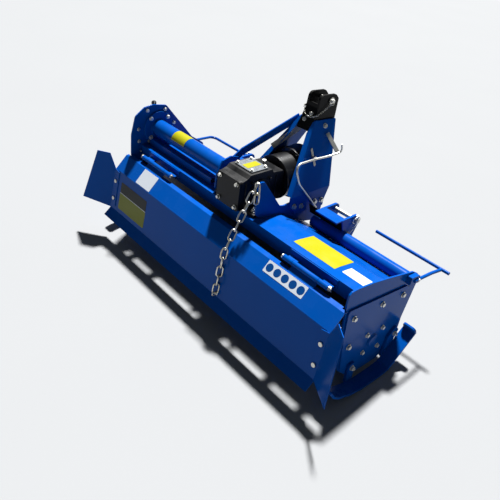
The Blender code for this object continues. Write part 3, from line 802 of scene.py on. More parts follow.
    @staticmethod
    def smooth(obj: bpy.types.Object, angle: float = 50.0) -> bpy.types.Object:
        """Smooth shading up to an angle, with flat faces kept flat.

        Args:
            obj: the object.
            angle: in degrees.

        Returns:
            The object.
        """
        Bench.only(obj)
        bpy.ops.object.shade_smooth_by_angle(angle=math.radians(angle))
        return Bench.modified(obj, "WEIGHTED_NORMAL", weight=80, keep_sharp=True)

    @staticmethod
    def copied(template: bpy.types.Object, matrix: Matrix) -> bpy.types.Object:
        """A copy with its own mesh, moved to its place.

        Args:
            template: the object that is copied.
            matrix: the move.

        Returns:
            The copy.
        """
        obj = bpy.data.objects.new(template.name, template.data.copy())
        bpy.context.scene.collection.objects.link(obj)
        obj.data.transform(matrix)
        return obj

    @staticmethod
    def joined(*objs: bpy.types.Object) -> bpy.types.Object:
        """Several objects as one.

        Args:
            objs: the objects, which go into the first.

        Returns:
            The joined object.
        """
        Bench.only(*objs)
        if len(objs) > 1:
            bpy.ops.object.join()
        return bpy.context.object

    @staticmethod
    def along(axis: Point, spot: Vector, turn: float = 0.0) -> Matrix:
        """A matrix that stands local Z along an axis at a spot, turned about it."""
        turned = Vector(axis).to_track_quat("Z", "Y").to_matrix().to_4x4()
        return Matrix.Translation(spot) @ turned @ Matrix.Rotation(turn, 4, "Z")

    @staticmethod
    def retire(*objs: bpy.types.Object) -> None:
        """Removes templates once they have been copied.

        Args:
            objs: the templates.
        """
        for obj in objs:
            mesh = obj.data
            bpy.data.objects.remove(obj)
            bpy.data.meshes.remove(mesh)

    @staticmethod
    def ready(obj: bpy.types.Object, name: str, body: str, coat: Coat) -> bpy.types.Object:
        """Names, dresses and mounts a finished piece.

        Args:
            obj: the piece, with its place in its mesh.
            name: its name.
            body: the body that it moves with.
            coat: its finish.

        Returns:
            The piece.
        """
        obj.name = obj.data.name = name
        obj.data.materials.clear()
        obj.data.materials.append(coat.value.material())
        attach(obj, body)
        log.info("%s: %d faces, %s, rides on %s", name, len(obj.data.polygons), coat.value.name, body)
        return obj

    @staticmethod
    def tube(points: list[Vector], radius: float, ripple: float = 0.0, sides: int = 2) -> bpy.types.Object:
        """A round bar or a weld bead along points.

        Args:
            points: the middle line.
            radius: of the bar.
            ripple: how much every other ring is thinner.
            sides: the curve's bevel resolution.

        Returns:
            A mesh object.
        """
        curve = bpy.data.curves.new("tube", "CURVE")
        curve.dimensions = "3D"
        curve.bevel_depth = radius
        curve.bevel_resolution = sides
        curve.use_fill_caps = True
        line = curve.splines.new("POLY")
        line.points.add(len(points) - 1)
        for i, (knot, spot) in enumerate(zip(line.points, points)):
            knot.co = (*spot, 1.0)
            knot.radius = 1.0 - ripple * (i % 2)
        obj = bpy.data.objects.new("tube", curve)
        bpy.context.scene.collection.objects.link(obj)
        Bench.only(obj)
        bpy.ops.object.convert(target="MESH")
        made = bpy.context.object
        bpy.ops.object.shade_smooth()
        return made

    @staticmethod
    def even(points: list[Vector], step: float) -> list[Vector]:
        """The same line with points at an even step.

        Args:
            points: the line.
            step: the distance between the new points.

        Returns:
            The new points.
        """
        out, spare = [points[0]], 0.0
        for here, there in zip(points, points[1:]):
            run = (there - here).length
            at = step - spare
            while at <= run + 1e-9:
                out.append(here.lerp(there, at / run))
                at += step
            spare = run - (at - step)
        return out


# ---- shared small pieces


@dataclass(frozen=True)
class Bolt:
    """A hexagon head or nut on its washer. Its seat is the origin and it stands along +Z."""

    across: float
    head: float
    washer: float = 0.0
    stub: float = 0.0
    sides: int = 6

    def model(self) -> bpy.types.Object:
        """Builds one bolt.

        Returns:
            The template object.
        """
        thick = 0.0018 if self.washer else 0.0
        radius = self.across / math.sqrt(3) if self.sides == 6 else self.across / 2
        spot = (0.0, 0.0, thick + self.head / 2)
        head = Bench.cylinder(self.sides, radius, self.head, spot)
        with Bench.facing(head, UP):
            Bench.inset(radius * 0.12)
            Bench.shift(0.0, 0.0, self.head * 0.12)
            Bench.inset(radius * (0.34 if self.stub else 0.25))
            if self.stub:
                Bench.pull(0.0, 0.0, self.stub)
                Bench.inset(radius * 0.10)
                Bench.shift(0.0, 0.0, self.stub * 0.2)
            else:
                Bench.shift(0.0, 0.0, -self.head * 0.06)
        Bench.bevelled(head, (self.across * 0.03, 1, 0.7))
        if not self.washer:
            return head
        ring = Bench.cylinder(20, self.washer, thick, (0, 0, thick / 2))
        Bench.domed(ring, UP, self.washer * 0.05, thick * 0.2)
        return Bench.joined(head, ring)

    def fasten(
        self, name: str, spots: list[Spot], coat: Coat = Coat.ZINC, body: str = "frame"
    ) -> bpy.types.Object:
        """Puts a copy at each spot and joins them.

        Args:
            name: the joined piece's name.
            spots: (place, outward axis) pairs, places counted from the drive tube's axis.
            coat: the finish.
            body: the body that carries it.

        Returns:
            The joined piece.
        """
        template = self.model()
        copies = []
        for i, (spot, axis) in enumerate(spots):
            turn = 0.7 * i * i % 1.0
            copies.append(Bench.copied(template, Bench.along(axis, Bench.at(spot), turn)))
        Bench.retire(template)
        return Bench.finished(Bench.joined(*copies), name, coat, body=body, angle=40.0)


@dataclass(frozen=True)
class LinkChain:
    """A welded chain of long links, each a quarter turn from the last."""

    wire: float
    wide: float
    pitch: float
    rings: int = 20
    sides: int = 8

    def link(self, pitch: float) -> bpy.types.Object:
        """One link, long along X and flat in XY: a ring whose halves are drawn apart.

        Args:
            pitch: the distance between links.

        Returns:
            The link.
        """
        ring = (self.wide - self.wire) / 2
        half = (pitch + self.wire - 2 * ring) / 2
        bpy.ops.object.select_all(action="DESELECT")
        obj = Bench.torus(ring, self.wire / 2, self.rings, self.sides)
        for side in SIDES:
            with Bench.editing(obj, "VERT"):
                Bench.pick(obj, lambda c, n: c.x * side > 1e-4, "verts")
                Bench.shift(side * half, 0.0, 0.0)
        bpy.ops.object.shade_smooth()
        return obj

    def string(self, points: list[Vector], side: Vector = RIGHT, lean: float = 45.0) -> bpy.types.Object:
        """Threads links along a line.

        Args:
            points: the line, in the frame.
            side: a direction across the line that the first links lean from.
            lean: that first lean in degrees.

        Returns:
            The joined chain.
        """
        length = sum((b - a).length for a, b in zip(points, points[1:]))
        count = max(2, round(length / self.pitch))
        pitch = length / count
        joints = Bench.even(points, pitch * 0.99999)[: count + 1]
        template = self.link(pitch)
        copies = []
        for i, (here, there) in enumerate(zip(joints, joints[1:])):
            ahead = (there - here).normalized()
            across = (side - ahead * ahead.dot(side)).normalized()
            turned = Matrix((ahead, across, ahead.cross(across))).transposed().to_4x4()
            turned = Matrix.Translation((here + there) / 2) @ turned
            roll = math.radians(lean + 90 * (i % 2) + 5 * math.sin(2.1 * i))
            copies.append(Bench.copied(template, turned @ Matrix.Rotation(roll, 4, "X")))
        Bench.retire(template)
        return Bench.joined(*copies)


@dataclass(frozen=True)
class Label:
    """A thin plain sheet stuck on a face, its corners rounded."""

    name: str
    face: Face
    across: Pair
    up: Pair
    coat: Coat
    body: str
    corner: float = 0.003
    lift: float = 0.0003
    thick: float = 0.0005
    below: Face | None = None

    def build(self) -> bpy.types.Object:
        """Lays the sheet on its face.

        Returns:
            The label.
        """
        bpy.ops.mesh.primitive_plane_add(size=1.0)
        sheet = bpy.context.object
        sheet.scale = (self.across[1] - self.across[0], self.up[1] - self.up[0], 1.0)
        sheet = Bench.placed()
        with Bench.editing(sheet, "VERT"):
            bpy.ops.mesh.select_all(action="SELECT")
            bpy.ops.mesh.bevel(offset=self.corner, segments=4, affect="VERTICES")
        sheet.data.transform(Matrix.Translation((0.0, sum(self.up) / 2, 0.0)))
        if self.below:
            self.fold(sheet)
        sheet.data.transform(self.face.matrix(sum(self.across) / 2, 0.0, self.lift))
        Bench.modified(sheet, "SOLIDIFY", thickness=self.thick, offset=1.0)
        Bench.bevelled(sheet, (self.thick * 0.3, 1, 0.9))
        return Bench.ready(sheet, self.name, self.body, self.coat)

    def fold(self, sheet: bpy.types.Object) -> None:
        """Creases the sheet where its face meets the one below, and turns what hangs over onto that one.

        Args:
            sheet: the flat sheet.
        """
        with Bench.editing(sheet):
            bpy.ops.mesh.select_all(action="SELECT")
            bpy.ops.mesh.bisect(plane_co=(0.0, 0.0, 0.0), plane_no=(0.0, 1.0, 0.0))
        turn = self.face.matrix(0.0, 0.0).to_3x3().inverted() @ self.below.matrix(0.0, 0.0).to_3x3()
        for vert in sheet.data.vertices:
            if vert.co.y < -1e-6:
                vert.co = turn @ vert.co


@dataclass(frozen=True)
class Weld:
    """A rippled weld bead laid along a seam."""

    radius: float = 0.0032
    step: float = 0.0028

    def lay(self, name: str, seams: list[list[Vector]]) -> bpy.types.Object:
        """Lays a bead on each seam and joins them.

        Args:
            name: the joined piece's name.
            seams: lines of points in the frame.

        Returns:
            The joined beads.
        """
        beads = [Bench.tube(Bench.even(seam, self.step), self.radius, 0.22, 1) for seam in seams]
        return Bench.ready(Bench.joined(*beads), name, "frame", Coat.BLUE)


def ring_line(
    x: float, y: float, z: float, radius: float, start: float = 0.0, sweep: float = 360.0, steps: int = 96
) -> list[Vector]:
    """Points on a circle about an axis along X, from a start angle through a sweep in degrees."""
    angles = [math.radians(start + sweep * i / steps) for i in range(steps + 1)]
    return [Bench.at((x, y, z)) + Vector((0.0, radius * math.cos(a), radius * math.sin(a))) for a in angles]


def pair(name: str) -> tuple[str, str]:
    """The names of a node's right and left copies."""
    return f"{name}_right", f"{name}_left"


def on_side(x: float, places: Iterable[Pair], way: int = 1) -> list[Spot]:
    """Bolt spots on a face square to X, from its (y, z) places and the way it looks."""
    return [((x, y, z), (way, 0, 0)) for y, z in places]


# ---- carried-over pieces


@dataclass(frozen=True)
class Carried:
    """How some of the frame's nodes are finished: their coat, edge radius and rounded folds."""

    names: tuple[str, ...]
    coat: Coat
    edge: float = 0.0011
    fold: float = 28.0
    segments: int = 2
    corners: Callable[[Vector, Vector], bool] | None = None
    corner: float = 0.016

    def build(self, node: str) -> bpy.types.Object:
        """Makes the node's finished copy, its edges rounded, and lets it stand for the node.

        Args:
            node: the node's name.

        Returns:
            The finished copy.
        """
        source = frame["nodes"][node]
        obj = bpy.data.objects.new(node, source.data.copy())
        bpy.context.scene.collection.objects.link(obj)
        with Bench.editing(obj, "VERT"):
            bpy.ops.mesh.customdata_custom_splitnormals_clear()
            bpy.ops.mesh.select_all(action="SELECT")
            bpy.ops.mesh.remove_doubles(threshold=1e-5)
            bpy.ops.mesh.dissolve_limited(angle_limit=math.radians(0.6))
        if self.corners:
            with Bench.editing(obj, "EDGE"):
                Bench.pick(obj, self.corners, "edges")
                bpy.ops.mesh.bevel(offset=self.corner, segments=5, affect="EDGES")
        Bench.bevelled(obj, (self.edge, self.segments, math.radians(self.fold)))
        Bench.finished(obj, f"{node}_finished", self.coat, body=source["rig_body"])
        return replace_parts(obj, node)


# ---- sub-assemblies


@dataclass
class Assembly:
    """Some of the frame's nodes with their finishes, and the pieces that dress them."""

    nodes: tuple[Carried, ...] = ()

    def build(self) -> None:
        """Finishes the nodes, then dresses them."""
        for carried in self.nodes:
            for name in carried.names:
                carried.build(name)
        self.dress()

    def dress(self) -> None:
        """Builds what the frame's nodes don't hold. Each sub-assembly has its own."""
        raise NotImplementedError


@dataclass
class Hood(Assembly):
    """The deck with its end plates, its stiffener, the front beams and their bolts and labels."""

    top: Face = Face((-0.100, 0.497), (-0.020, 0.492))
    slope: Face = Face((-0.020, 0.492), (0.075, 0.478))
    plate: float = 0.7836  # the right plate's outer face
    weld: float = 0.7655  # the beads' place beside each end plate
    nodes: tuple[Carried, ...] = (
        Carried(("deck",), Coat.BLUE, 0.0016, 3.0),
        Carried(("deck_stiffener",), Coat.BLUE, 0.0014, 12.0),
        Carried(("front_beam_left", "front_beam_right"), Coat.BLUE, 0.002),
        Carried(("end_plate_right", "side_plate_right", "case_plate_left"), Coat.BLUE),
        Carried(("rotor_bearing_left", "rotor_bearing_right"), Coat.BLUE, 0.0015),
        Carried(("hinge_bracket_left", "hinge_bracket_right"), Coat.BLUE, 0.0008),
    )

    def dress(self) -> None:
        """Adds the bolts, the cap, the dark strip of painted shade, the labels and the welds."""
        self.bolts()
        self.hub_cap()
        self.shade_strip()
        self.labels()
        self.welds()

    def bolts(self) -> None:
        """The right plate's bolts, the hub bolts and the small ones on the deck's corner."""
        plate = on_side(self.plate, ((0.233, 0.354), (0.083, 0.369), (-0.103, 0.380), (-0.091, 0.224)))
        Bolt(0.019, 0.008, 0.0135).fasten("side_plate_bolts", plate)
        hub = on_side(self.plate, ((0.140, 0.216), (0.032, 0.225), (0.135, 0.114), (0.029, 0.128)))
        Bolt(0.016, 0.007, 0.0115).fasten("hub_bolts", hub)
        corner = [((0.758, -0.078, 0.4955), (0.0, 0.06, 1.0)), ((0.762, -0.1055, 0.463), (0.0, -1.0, 0.0))]
        corner += [((-x, y, z), axis) for (x, y, z), axis in corner[1:]]
        Bolt(0.010, 0.005, 0.0065).fasten("deck_corner_screws", corner)

    def hub_cap(self) -> None:
        """The pressed cap over the rotor bearing, in the middle of the hub bolts."""
        end = max(self.plate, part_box("rotor_shaft")[1].x + 0.001)
        axle = Bench.at((end, *AXLE))
        cap = Bench.cylinder(48, 0.036, 0.002, axle + Vector((0.001, 0, 0)), "X")
        with Bench.facing(cap, RIGHT):
            Bench.inset(0.005)
            Bench.pull(0.005, 0.0, 0.0)
            Bench.resize(1.0, 0.9, 0.9)
            Bench.inset(0.012)
            Bench.shift(0.001, 0.0, 0.0)
        Bench.finished(cap, "hub_cap", Coat.BLUE, (0.0006, 2, 0.5))

    def shade_strip(self) -> None:
        """A dark rubber strip hung inside the deck's rear edge, with a rib along its lower edge: painted
        shade that hides the lit floor seen through the gap behind the deck.
        """
        # painted shade: a dark strip that keeps the gap between the deck and the flap dark
        strip = Bench.block((1.516, 0.003, 0.090), Bench.at((0.0, -0.0925, 0.4250)))
        with Bench.faces(strip, lambda c, n: abs(n.y) > FACING):
            bpy.ops.mesh.inset(thickness=0.007, use_individual=True)
            Bench.resize(1.0, 0.7, 1.0)
        Bench.finished(strip, "rear_shade_strip", Coat.GUARD, (0.0006, 2, 0.4))

    def labels(self) -> None:
        """The two plain labels on the deck's flat top."""
        for name, across, up, coat in (
            ("deck_label_yellow", (0.372, 0.609), (-0.036, 0.0945), Coat.YELLOW),
            ("deck_label_white", (0.638, 0.757), (-0.023, 0.041), Coat.WHITE),
        ):
            Label(name, self.slope, across, up, coat, "frame", below=self.top).build()

    def welds(self) -> None:
        """Beads where the deck and the beams meet the end plates, and along the stiffener."""
        seams = []
        for x in (self.weld, -self.weld):
            seams.append(Bench.seam(x, (-0.092, 0.4985), (-0.020, 0.494), (0.075, 0.480), (0.245, 0.391)))
            seams.append(ring_line(x, *BEAM, 0.033, start=-60, sweep=230, steps=40))
        for x in (-0.28, -0.46, -0.64):
            seams.append([Bench.at((x - 0.03, -0.0575, 0.4965)), Bench.at((x + 0.03, -0.0575, 0.4965))])
        Weld().lay("hood_welds", seams)


@dataclass
class Drive(Assembly):
    """The drive tube, the left gear case, their bolts, plugs and the tube's label."""

    tube: float = 0.044  # the tube's radius
    case_out: float = -0.8373  # the case's outer face
    nodes: tuple[Carried, ...] = (
        Carried(("drive_tube",), Coat.BLUE, 0.0015),
        Carried(("gear_case",), Coat.BLUE, 0.0012, 50.0),
    )

    def dress(self) -> None:
        """Adds the bolts, the cover, the label, the filler and the welds."""
        self.flange_bolts()
        self.case_cover()
        self.wrap()
        self.plug()
        rings = [ring_line(-0.7547, 0.0, TUBE_Z, 0.046), ring_line(-0.0883, 0.0, TUBE_Z, 0.046)]
        Weld(0.0038).lay("drive_tube_welds", rings)

    def flange_bolts(self) -> None:
        """Bolts on both tube flanges and along the case plate."""
        places = [(-0.050, 0.642), (0.056, 0.636), (-0.050, 0.534), (0.056, 0.534)]
        Bolt(0.017, 0.008, 0.0125).fasten("tube_flange_bolts", on_side(-0.7545, places))
        around = [(-0.066, 0.686), (0.045, 0.678), (0.106, 0.590), (-0.120, 0.589)]
        around += [(-0.116, 0.520), (0.150, 0.520), (-0.053, 0.508)]
        Bolt(0.014, 0.006, 0.0105).fasten("case_plate_bolts", on_side(-0.7668, around))
        square = on_side(-0.0876, SQUARE, -1)
        Bolt(0.014, 0.008, 0.0105).fasten("gearbox_flange_bolts", square)

    def case_cover(self) -> None:
        """The raised cover on the gear case's outer side, with its ring of bolts and its oil plugs."""
        ends = ((0.0, TUBE_Z, 0.078), (*AXLE, 0.086))
        fall = TUBE_Z - AXLE[1]
        lean = math.atan2(-fall, AXLE[0])
        cover = Bench.cylinder(48, 1.0, 0.005, ORIGIN, "X")
        across = Vector((0.0, math.cos(lean), math.sin(lean)))
        with Bench.editing(cover, "VERT"):
            for vert in bmesh.from_edit_mesh(cover.data).verts:
                y, z, r = ends[1] if vert.co.dot(across) > -1e-4 else ends[0]
                spot = Bench.at((self.case_out - 0.0022 + vert.co.x, y, z))
                vert.co = spot + Vector((0.0, vert.co.y, vert.co.z)) * r
            bmesh.update_edit_mesh(cover.data)
            Bench.pick(cover, lambda c, n: n.x < -FACING)
            Bench.inset(0.022)
            Bench.pull(-0.005, 0.0, 0.0)
            Bench.resize(1.0, 0.95, 0.985)
        Bench.finished(cover, "gear_case_cover", Coat.BLUE, (0.0018, 3, 0.5))
        places = []
        for (y, z, r), first in ((ends[0], 90.0), (ends[1], -90.0)):
            for k in range(5):
                a = lean + math.radians(first + 22 + 34 * k)
                places.append((y + (r - 0.011) * math.cos(a), z + (r - 0.011) * math.sin(a)))
        for share in (0.25, 0.5, 0.75):
            for side in SIDES:
                r = 0.070 + 0.006 * share
                y = AXLE[0] * share - side * r * math.sin(lean)
                z = TUBE_Z - fall * share + side * r * math.cos(lean)
                places.append((y, z))
        Bolt(0.010, 0.005, 0.0075).fasten("case_cover_bolts", on_side(self.case_out - 0.0047, places, -1))
        plugs = on_side(self.case_out - 0.0097, ((0.060, 0.300), (0.086, 0.120)), -1)
        Bolt(0.019, 0.006, 0.0135).fasten("case_oil_plugs", plugs)

    def wrap(self) -> None:
        """The plain yellow label wrapped round the tube's upper side."""
        spot = Bench.at((-0.520, 0.0, TUBE_Z))
        sheet = Bench.cylinder(96, self.tube + 0.0004, 0.110, spot, "X", "NOTHING")
        with Bench.editing(sheet):
            low, high = math.radians(28), math.radians(168)
            Bench.pick(sheet, lambda c, n: not low < math.atan2(c.z - spot.z, c.y - spot.y) < high)
            bpy.ops.mesh.delete(type="FACE")
        Bench.modified(sheet, "SOLIDIFY", thickness=0.0005, offset=1.0)
        Bench.finished(sheet, "drive_tube_label", Coat.YELLOW)

    def plug(self) -> None:
        """The case's filler: a neck, a knurled cap and its vent."""
        foot = Bench.at((-0.790, -0.012, 0.683))
        neck = Bench.cylinder(24, 0.010, 0.020, foot + Vector((0, 0, 0.010)))
        with Bench.facing(neck, UP):
            Bench.pull(0.0, 0.0, 0.004)
            Bench.resize(1.35, 1.35, 1.0)
            Bench.pull(0.0, 0.0, 0.012)
            Bench.inset(0.003)
            Bench.pull(0.0, 0.0, 0.004)
        Bench.finished(neck, "case_filler_cap", Coat.GUARD, (0.0010, 2, 0.6))


@dataclass
class Gearbox(Assembly):
    """The central gearbox with its covers, bolts, vent, guard and splined input."""

    rear: float = -0.1302  # the rear cover's face
    lid: float = 0.6855  # the top cover's face
    nodes: tuple[Carried, ...] = (
        Carried(("gearbox",), Coat.CAST, 0.0030, 28.0, 3),
        Carried(("gearbox_top_cover",), Coat.COVER, 0.0010),
        Carried(("pto_guard",), Coat.GUARD, 0.0017),
    )

    def dress(self) -> None:
        """Adds the bolts, castings, vent, rims, spline and label."""
        self.bolts()
        self.castings()
        self.vent()
        self.guard_rims()
        self.spline()
        lid = Face((-0.05, self.lid), (0.05, self.lid))
        Label("gearbox_label", lid, (-0.020, 0.022), (0.010, 0.092), Coat.YELLOW, "frame", 0.002).build()

    def bolts(self) -> None:
        """Bolts of the rear cover, the top cover, the foot and the input's bearing cap."""
        back = [((x, self.rear, z), (0, -1, 0)) for x in (-0.058, 0.058) for z in (0.642, 0.528)]
        Bolt(0.015, 0.009, 0.0105).fasten("rear_cover_bolts", back)
        top = [((x, y, self.lid), (0, 0, 1)) for x in (-0.048, 0.050) for y in (-0.041, 0.040)]
        Bolt(0.013, 0.007, 0.0090).fasten("top_cover_bolts", top)
        foot = [((x, y, 0.5131), (0, 0, 1)) for x in (-0.112, 0.112) for y in (-0.060, 0.050)]
        Bolt(0.019, 0.010, 0.0140, 0.008).fasten("gearbox_foot_bolts", foot)
        right = on_side(0.0753, SQUARE)
        Bolt(0.014, 0.008, 0.0105).fasten("side_cap_bolts", right, Coat.CAST)

    def castings(self) -> None:
        """Raised castings: the right bearing cap, the front flange and the ribs on the body."""
        made = []
        cap = Bench.at((0.0775, 0.0, TUBE_Z))
        disc = Bench.cylinder(40, 0.060, 0.006, cap, "X")
        with Bench.facing(disc, RIGHT):
            Bench.inset(0.020)
            Bench.pull(0.008, 0.0, 0.0)
            Bench.inset(0.012)
            Bench.pull(-0.004, 0.0, 0.0)
        made.append(disc)
        nose = Bench.cylinder(48, 0.070, 0.008, Bench.at((0.0, 0.1455, TUBE_Z)), "Y")
        with Bench.faces(nose, lambda c, n: abs(n.y) > FACING and c.y > 0):
            Bench.inset(0.006)
        made.append(nose)
        for x in (-0.0765, 0.0765):
            for y in (-0.090, 0.095):
                rib = Bench.block((0.005, 0.007, 0.128), Bench.at((x, y, 0.583)))
                side = math.copysign(1.0, x)
                with Bench.facing(rib, RIGHT * side):
                    Bench.resize(1.0, 0.55, 0.93)
                made.append(rib)
        Bench.finished(Bench.joined(*made), "gearbox_castings", Coat.CAST, (0.0016, 2, 0.6))

    def vent(self) -> None:
        """The oil vent in front of the top cover: a hexagon, a neck and a pressed cap."""
        foot = Bench.at((-0.004, 0.083, 0.6585))
        body = Bench.cylinder(6, 0.011, 0.007, foot + Vector((0, 0, 0.0035)))
        with Bench.facing(body, UP):
            Bench.inset(0.003)
            Bench.pull(0.0, 0.0, 0.014)
        cap = Bench.cylinder(24, 0.0115, 0.010, foot + Vector((0, 0, 0.026)))
        Bench.domed(cap, UP, 0.003, 0.002)
        Bench.finished(Bench.joined(body, cap), "gearbox_vent", Coat.ZINC, (0.0008, 2, 0.6))

    def guard_rims(self) -> None:
        """Rolled rims on the guard's drums and the ribs between them."""
        made = []
        for y, radius, wire in (
            (0.1535, 0.1055, 0.0022),
            (0.2495, 0.1055, 0.0018),
            (0.2525, 0.1252, 0.0026),
            (0.3435, 0.1240, 0.0030),
        ):
            spot = Bench.at((0.0, y, TUBE_Z))
            rim = Bench.torus(radius, wire, 72, 8, spot, (QUARTER, 0, 0))
            with Bench.faces(rim, lambda c, n: n.y > 0.7):
                Bench.shift(0.0, 0.0004, 0.0)
            made.append(rim)
        for k in range(16):
            a = math.radians(22.5 * k)
            spot = Bench.at((0.1170 * math.cos(a), 0.2478, TUBE_Z + 0.1170 * math.sin(a)))
            rib = Bench.block((0.013, 0.006, 0.003), spot, (0.0, -a, 0.0))
            with Bench.facing(rib, -FRONT):
                Bench.resize(0.7, 1.0, 0.7)
            made.append(rib)
        Bench.finished(Bench.joined(*made), "guard_rims", Coat.GUARD)
        turns = (0.8, 2.35, 3.93, 5.5)
        clamps = [((0.078 * math.cos(a), 0.1500, TUBE_Z + 0.078 * math.sin(a)), (0, -1, 0)) for a in turns]
        Bolt(0.010, 0.005, 0.0075).fasten("guard_bolts", clamps)

    @staticmethod
    def keyed(arm: Vector) -> bool:
        """True where the input shaft has a key: on three strips of ten degrees out of every six."""
        return int(math.degrees(math.atan2(arm.z, arm.x)) % 360 / 10) % 6 < 3

    def spline(self) -> None:
        """The input shaft: six raised keys round a core, a groove for the lock and a chamfered end."""
        low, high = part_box("pto_shaft")
        centre = (low + high) / 2
        radius = 0.0148
        shaft = Bench.cylinder(36, radius, high.y - low.y - 0.002, centre, "Y")
        with Bench.editing(shaft):
            Bench.pick(shaft, lambda c, n: abs(n.y) < 0.1 and self.keyed(c - centre))
            bpy.ops.mesh.extrude_region_shrink_fatten(TRANSFORM_OT_shrink_fatten={"value": 0.0026})
            Bench.pick(shaft, lambda c, n: n.y > FACING)
            Bench.pull(0.0, 0.002, 0.0)
            Bench.resize(0.86, 1.0, 0.86)
        collar = Bench.cylinder(36, 0.026, 0.012, Bench.at((0.0, 0.182, TUBE_Z)), "Y")
        Bench.domed(collar, FRONT, 0.005, -0.002)
        shaft = Bench.joined(shaft, collar)
        Bench.finished(shaft, "pto_spline", Coat.STEEL, (0.0005, 1, 0.5), body="power_input", angle=30.0)
        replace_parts(shaft, "pto_shaft")


@dataclass
class Mast(Assembly):
    """The A-frame: base brackets, legs, stay, clevis, its pin and the drive-shaft rest."""

    leg_out: float = 0.1584  # the legs' outer faces
    pin: Pair = (0.437, 0.940)  # the top link pin's axis, (y, z)
    nodes: tuple[Carried, ...] = (
        Carried(pair("base_bracket"), Coat.BLUE, 0.0012),
        Carried(pair("mast_leg"), Coat.BLUE, 0.0012, 12.0),
        Carried(("rear_stay_left",), Coat.BLUE, 0.0010, 10.0),
        Carried(("top_clevis",), Coat.BLACK, 0.0014),
        Carried(("top_link_pin",), Coat.ZINC, 0.0008),
        Carried(("shaft_rest",), Coat.ZINC, 0.0006, 40.0),
    )

    def dress(self) -> None:
        """Adds the bolts, the tether, the hook, the strap and the welds."""
        self.bolts()
        self.tether()
        self.hook()
        self.strap()
        self.welds()

    def bolts(self) -> None:
        """The base bolts of both legs, the head bolts and the clevis's own."""
        base = []
        for side in SIDES:
            pull = 0.0 if side > 0 else 0.030
            spots = ((0.156, 0.498), (0.207, 0.488), (0.302 - pull, 0.487), (0.350 - pull * 1.3, 0.482))
            base += on_side(side * self.leg_out, spots, side)
        Bolt(0.019, 0.009, 0.0135).fasten("mast_base_bolts", base)
        nuts = []
        for side in SIDES:
            nuts += on_side(side * 0.1418, ((0.302, 0.487), (0.207, 0.488)), -side)
        Bolt(0.019, 0.010, 0.0135, 0.006).fasten("mast_base_nuts", nuts)
        slope = 0.357
        head = []
        for side in SIDES:
            x = side * (self.leg_out - 0.110 * (0.826 - 0.548) / 0.308)
            head.append(((x, 0.400, 0.826), (side, 0, slope)))
        Bolt(0.017, 0.008, 0.0125).fasten("mast_head_bolts", head)
        up = Vector((0.0, 0.045, 0.094)).normalized()
        out = (0.0, -up.z, up.y)
        rear = [((x, 0.306 + up.y * s, 0.806 + up.z * s), out) for x, s in ((0.012, 0.082), (-0.012, 0.046))]
        Bolt(0.014, 0.007, 0.0105).fasten("clevis_bolts", rear)

    def tether(self) -> None:
        """The top pin's washer, its lock ring and the light chain that keeps it with the mast."""
        y, z = self.pin
        disc = Bench.cylinder(32, 0.0165, 0.003, Bench.at((0.0425, y, z)), "X")
        Bench.domed(disc, RIGHT, 0.0025, 0.0008)
        Bench.finished(disc, "pin_washer", Coat.ZINC, angle=30.0)
        eye = Bench.at((0.0515, y, z))
        spot = eye + Vector((0.0, -0.006, -0.006))
        ring = Bench.torus(0.0125, 0.0017, 32, 8, spot, (0.35, QUARTER - 0.25, 0.0))
        with Bench.faces(ring, lambda c, n: c.z > eye.z):
            Bench.shift(0.0006, 0.0, 0.0)
        Bench.finished(ring, "pin_lock_ring", Coat.ZINC)
        route = [(0.050, 0.425, 0.926), (0.049, 0.395, 0.905), (0.046, 0.362, 0.886), (0.040, 0.338, 0.874)]
        route += [(0.022, 0.330, 0.868), (0.0, 0.327, 0.868), (-0.020, 0.329, 0.876), (-0.036, 0.338, 0.890)]
        route += [(-0.043, 0.345, 0.903)]
        chain = LinkChain(0.0024, 0.0085, 0.0135, 14, 6).string(Bench.route(*route), UP)
        Bench.ready(chain, "pin_tether", "frame", Coat.CHAIN)
        Bolt(0.008, 0.005, 0.006).fasten("tether_screw", [((-0.0403, 0.350, 0.906), (-1, 0, 0))])

    def hook(self) -> None:
        """The upturned end of the drive-shaft rest's wire."""
        route = [(0.1500, 0.4340, 0.7145), (0.1535, 0.4400, 0.7200)]
        route += [(0.1545, 0.4420, 0.7330), (0.1520, 0.4390, 0.7580)]
        Bench.ready(Bench.tube(Bench.route(*route), 0.0046, 0.0, 4), "rest_hook", "frame", Coat.ZINC)

    def strap(self) -> None:
        """A flat strap inside the left stay, finished in bright zinc as a painted highlight: the strap itself
        is black with a glossy streak along it.
        """
        head, foot = Bench.at((-0.034, 0.348, 0.805)), Bench.at((-0.086, 0.207, 0.700))
        run = foot - head
        bar = Bench.block((run.length, 0.004, 0.030))
        with Bench.faces(bar, lambda c, n: abs(n.x) > FACING):
            Bench.inset(0.0005)
            Bench.resize(1.0, 1.0, 0.8)
        Bench.bevelled(bar, (0.0006, 2, 0.5))
        turned = run.to_track_quat("X", "Z").to_matrix().to_4x4()
        bar.data.transform(Matrix.Translation((head + foot) / 2) @ turned)
        # the zinc finish is painted highlight on a strap that is black
        Bench.finished(bar, "stay_strap", Coat.ZINC)

    def welds(self) -> None:
        """Beads round the brackets' feet on the deck."""
        places = ((-0.055, 0.4975), (-0.020, 0.4945), (0.075, 0.4805), (0.240, 0.3935))
        seams = [Bench.seam(x, *places) for x in (0.1405, 0.1515, -0.1405, -0.1515)]
        Weld().lay("bracket_welds", seams)


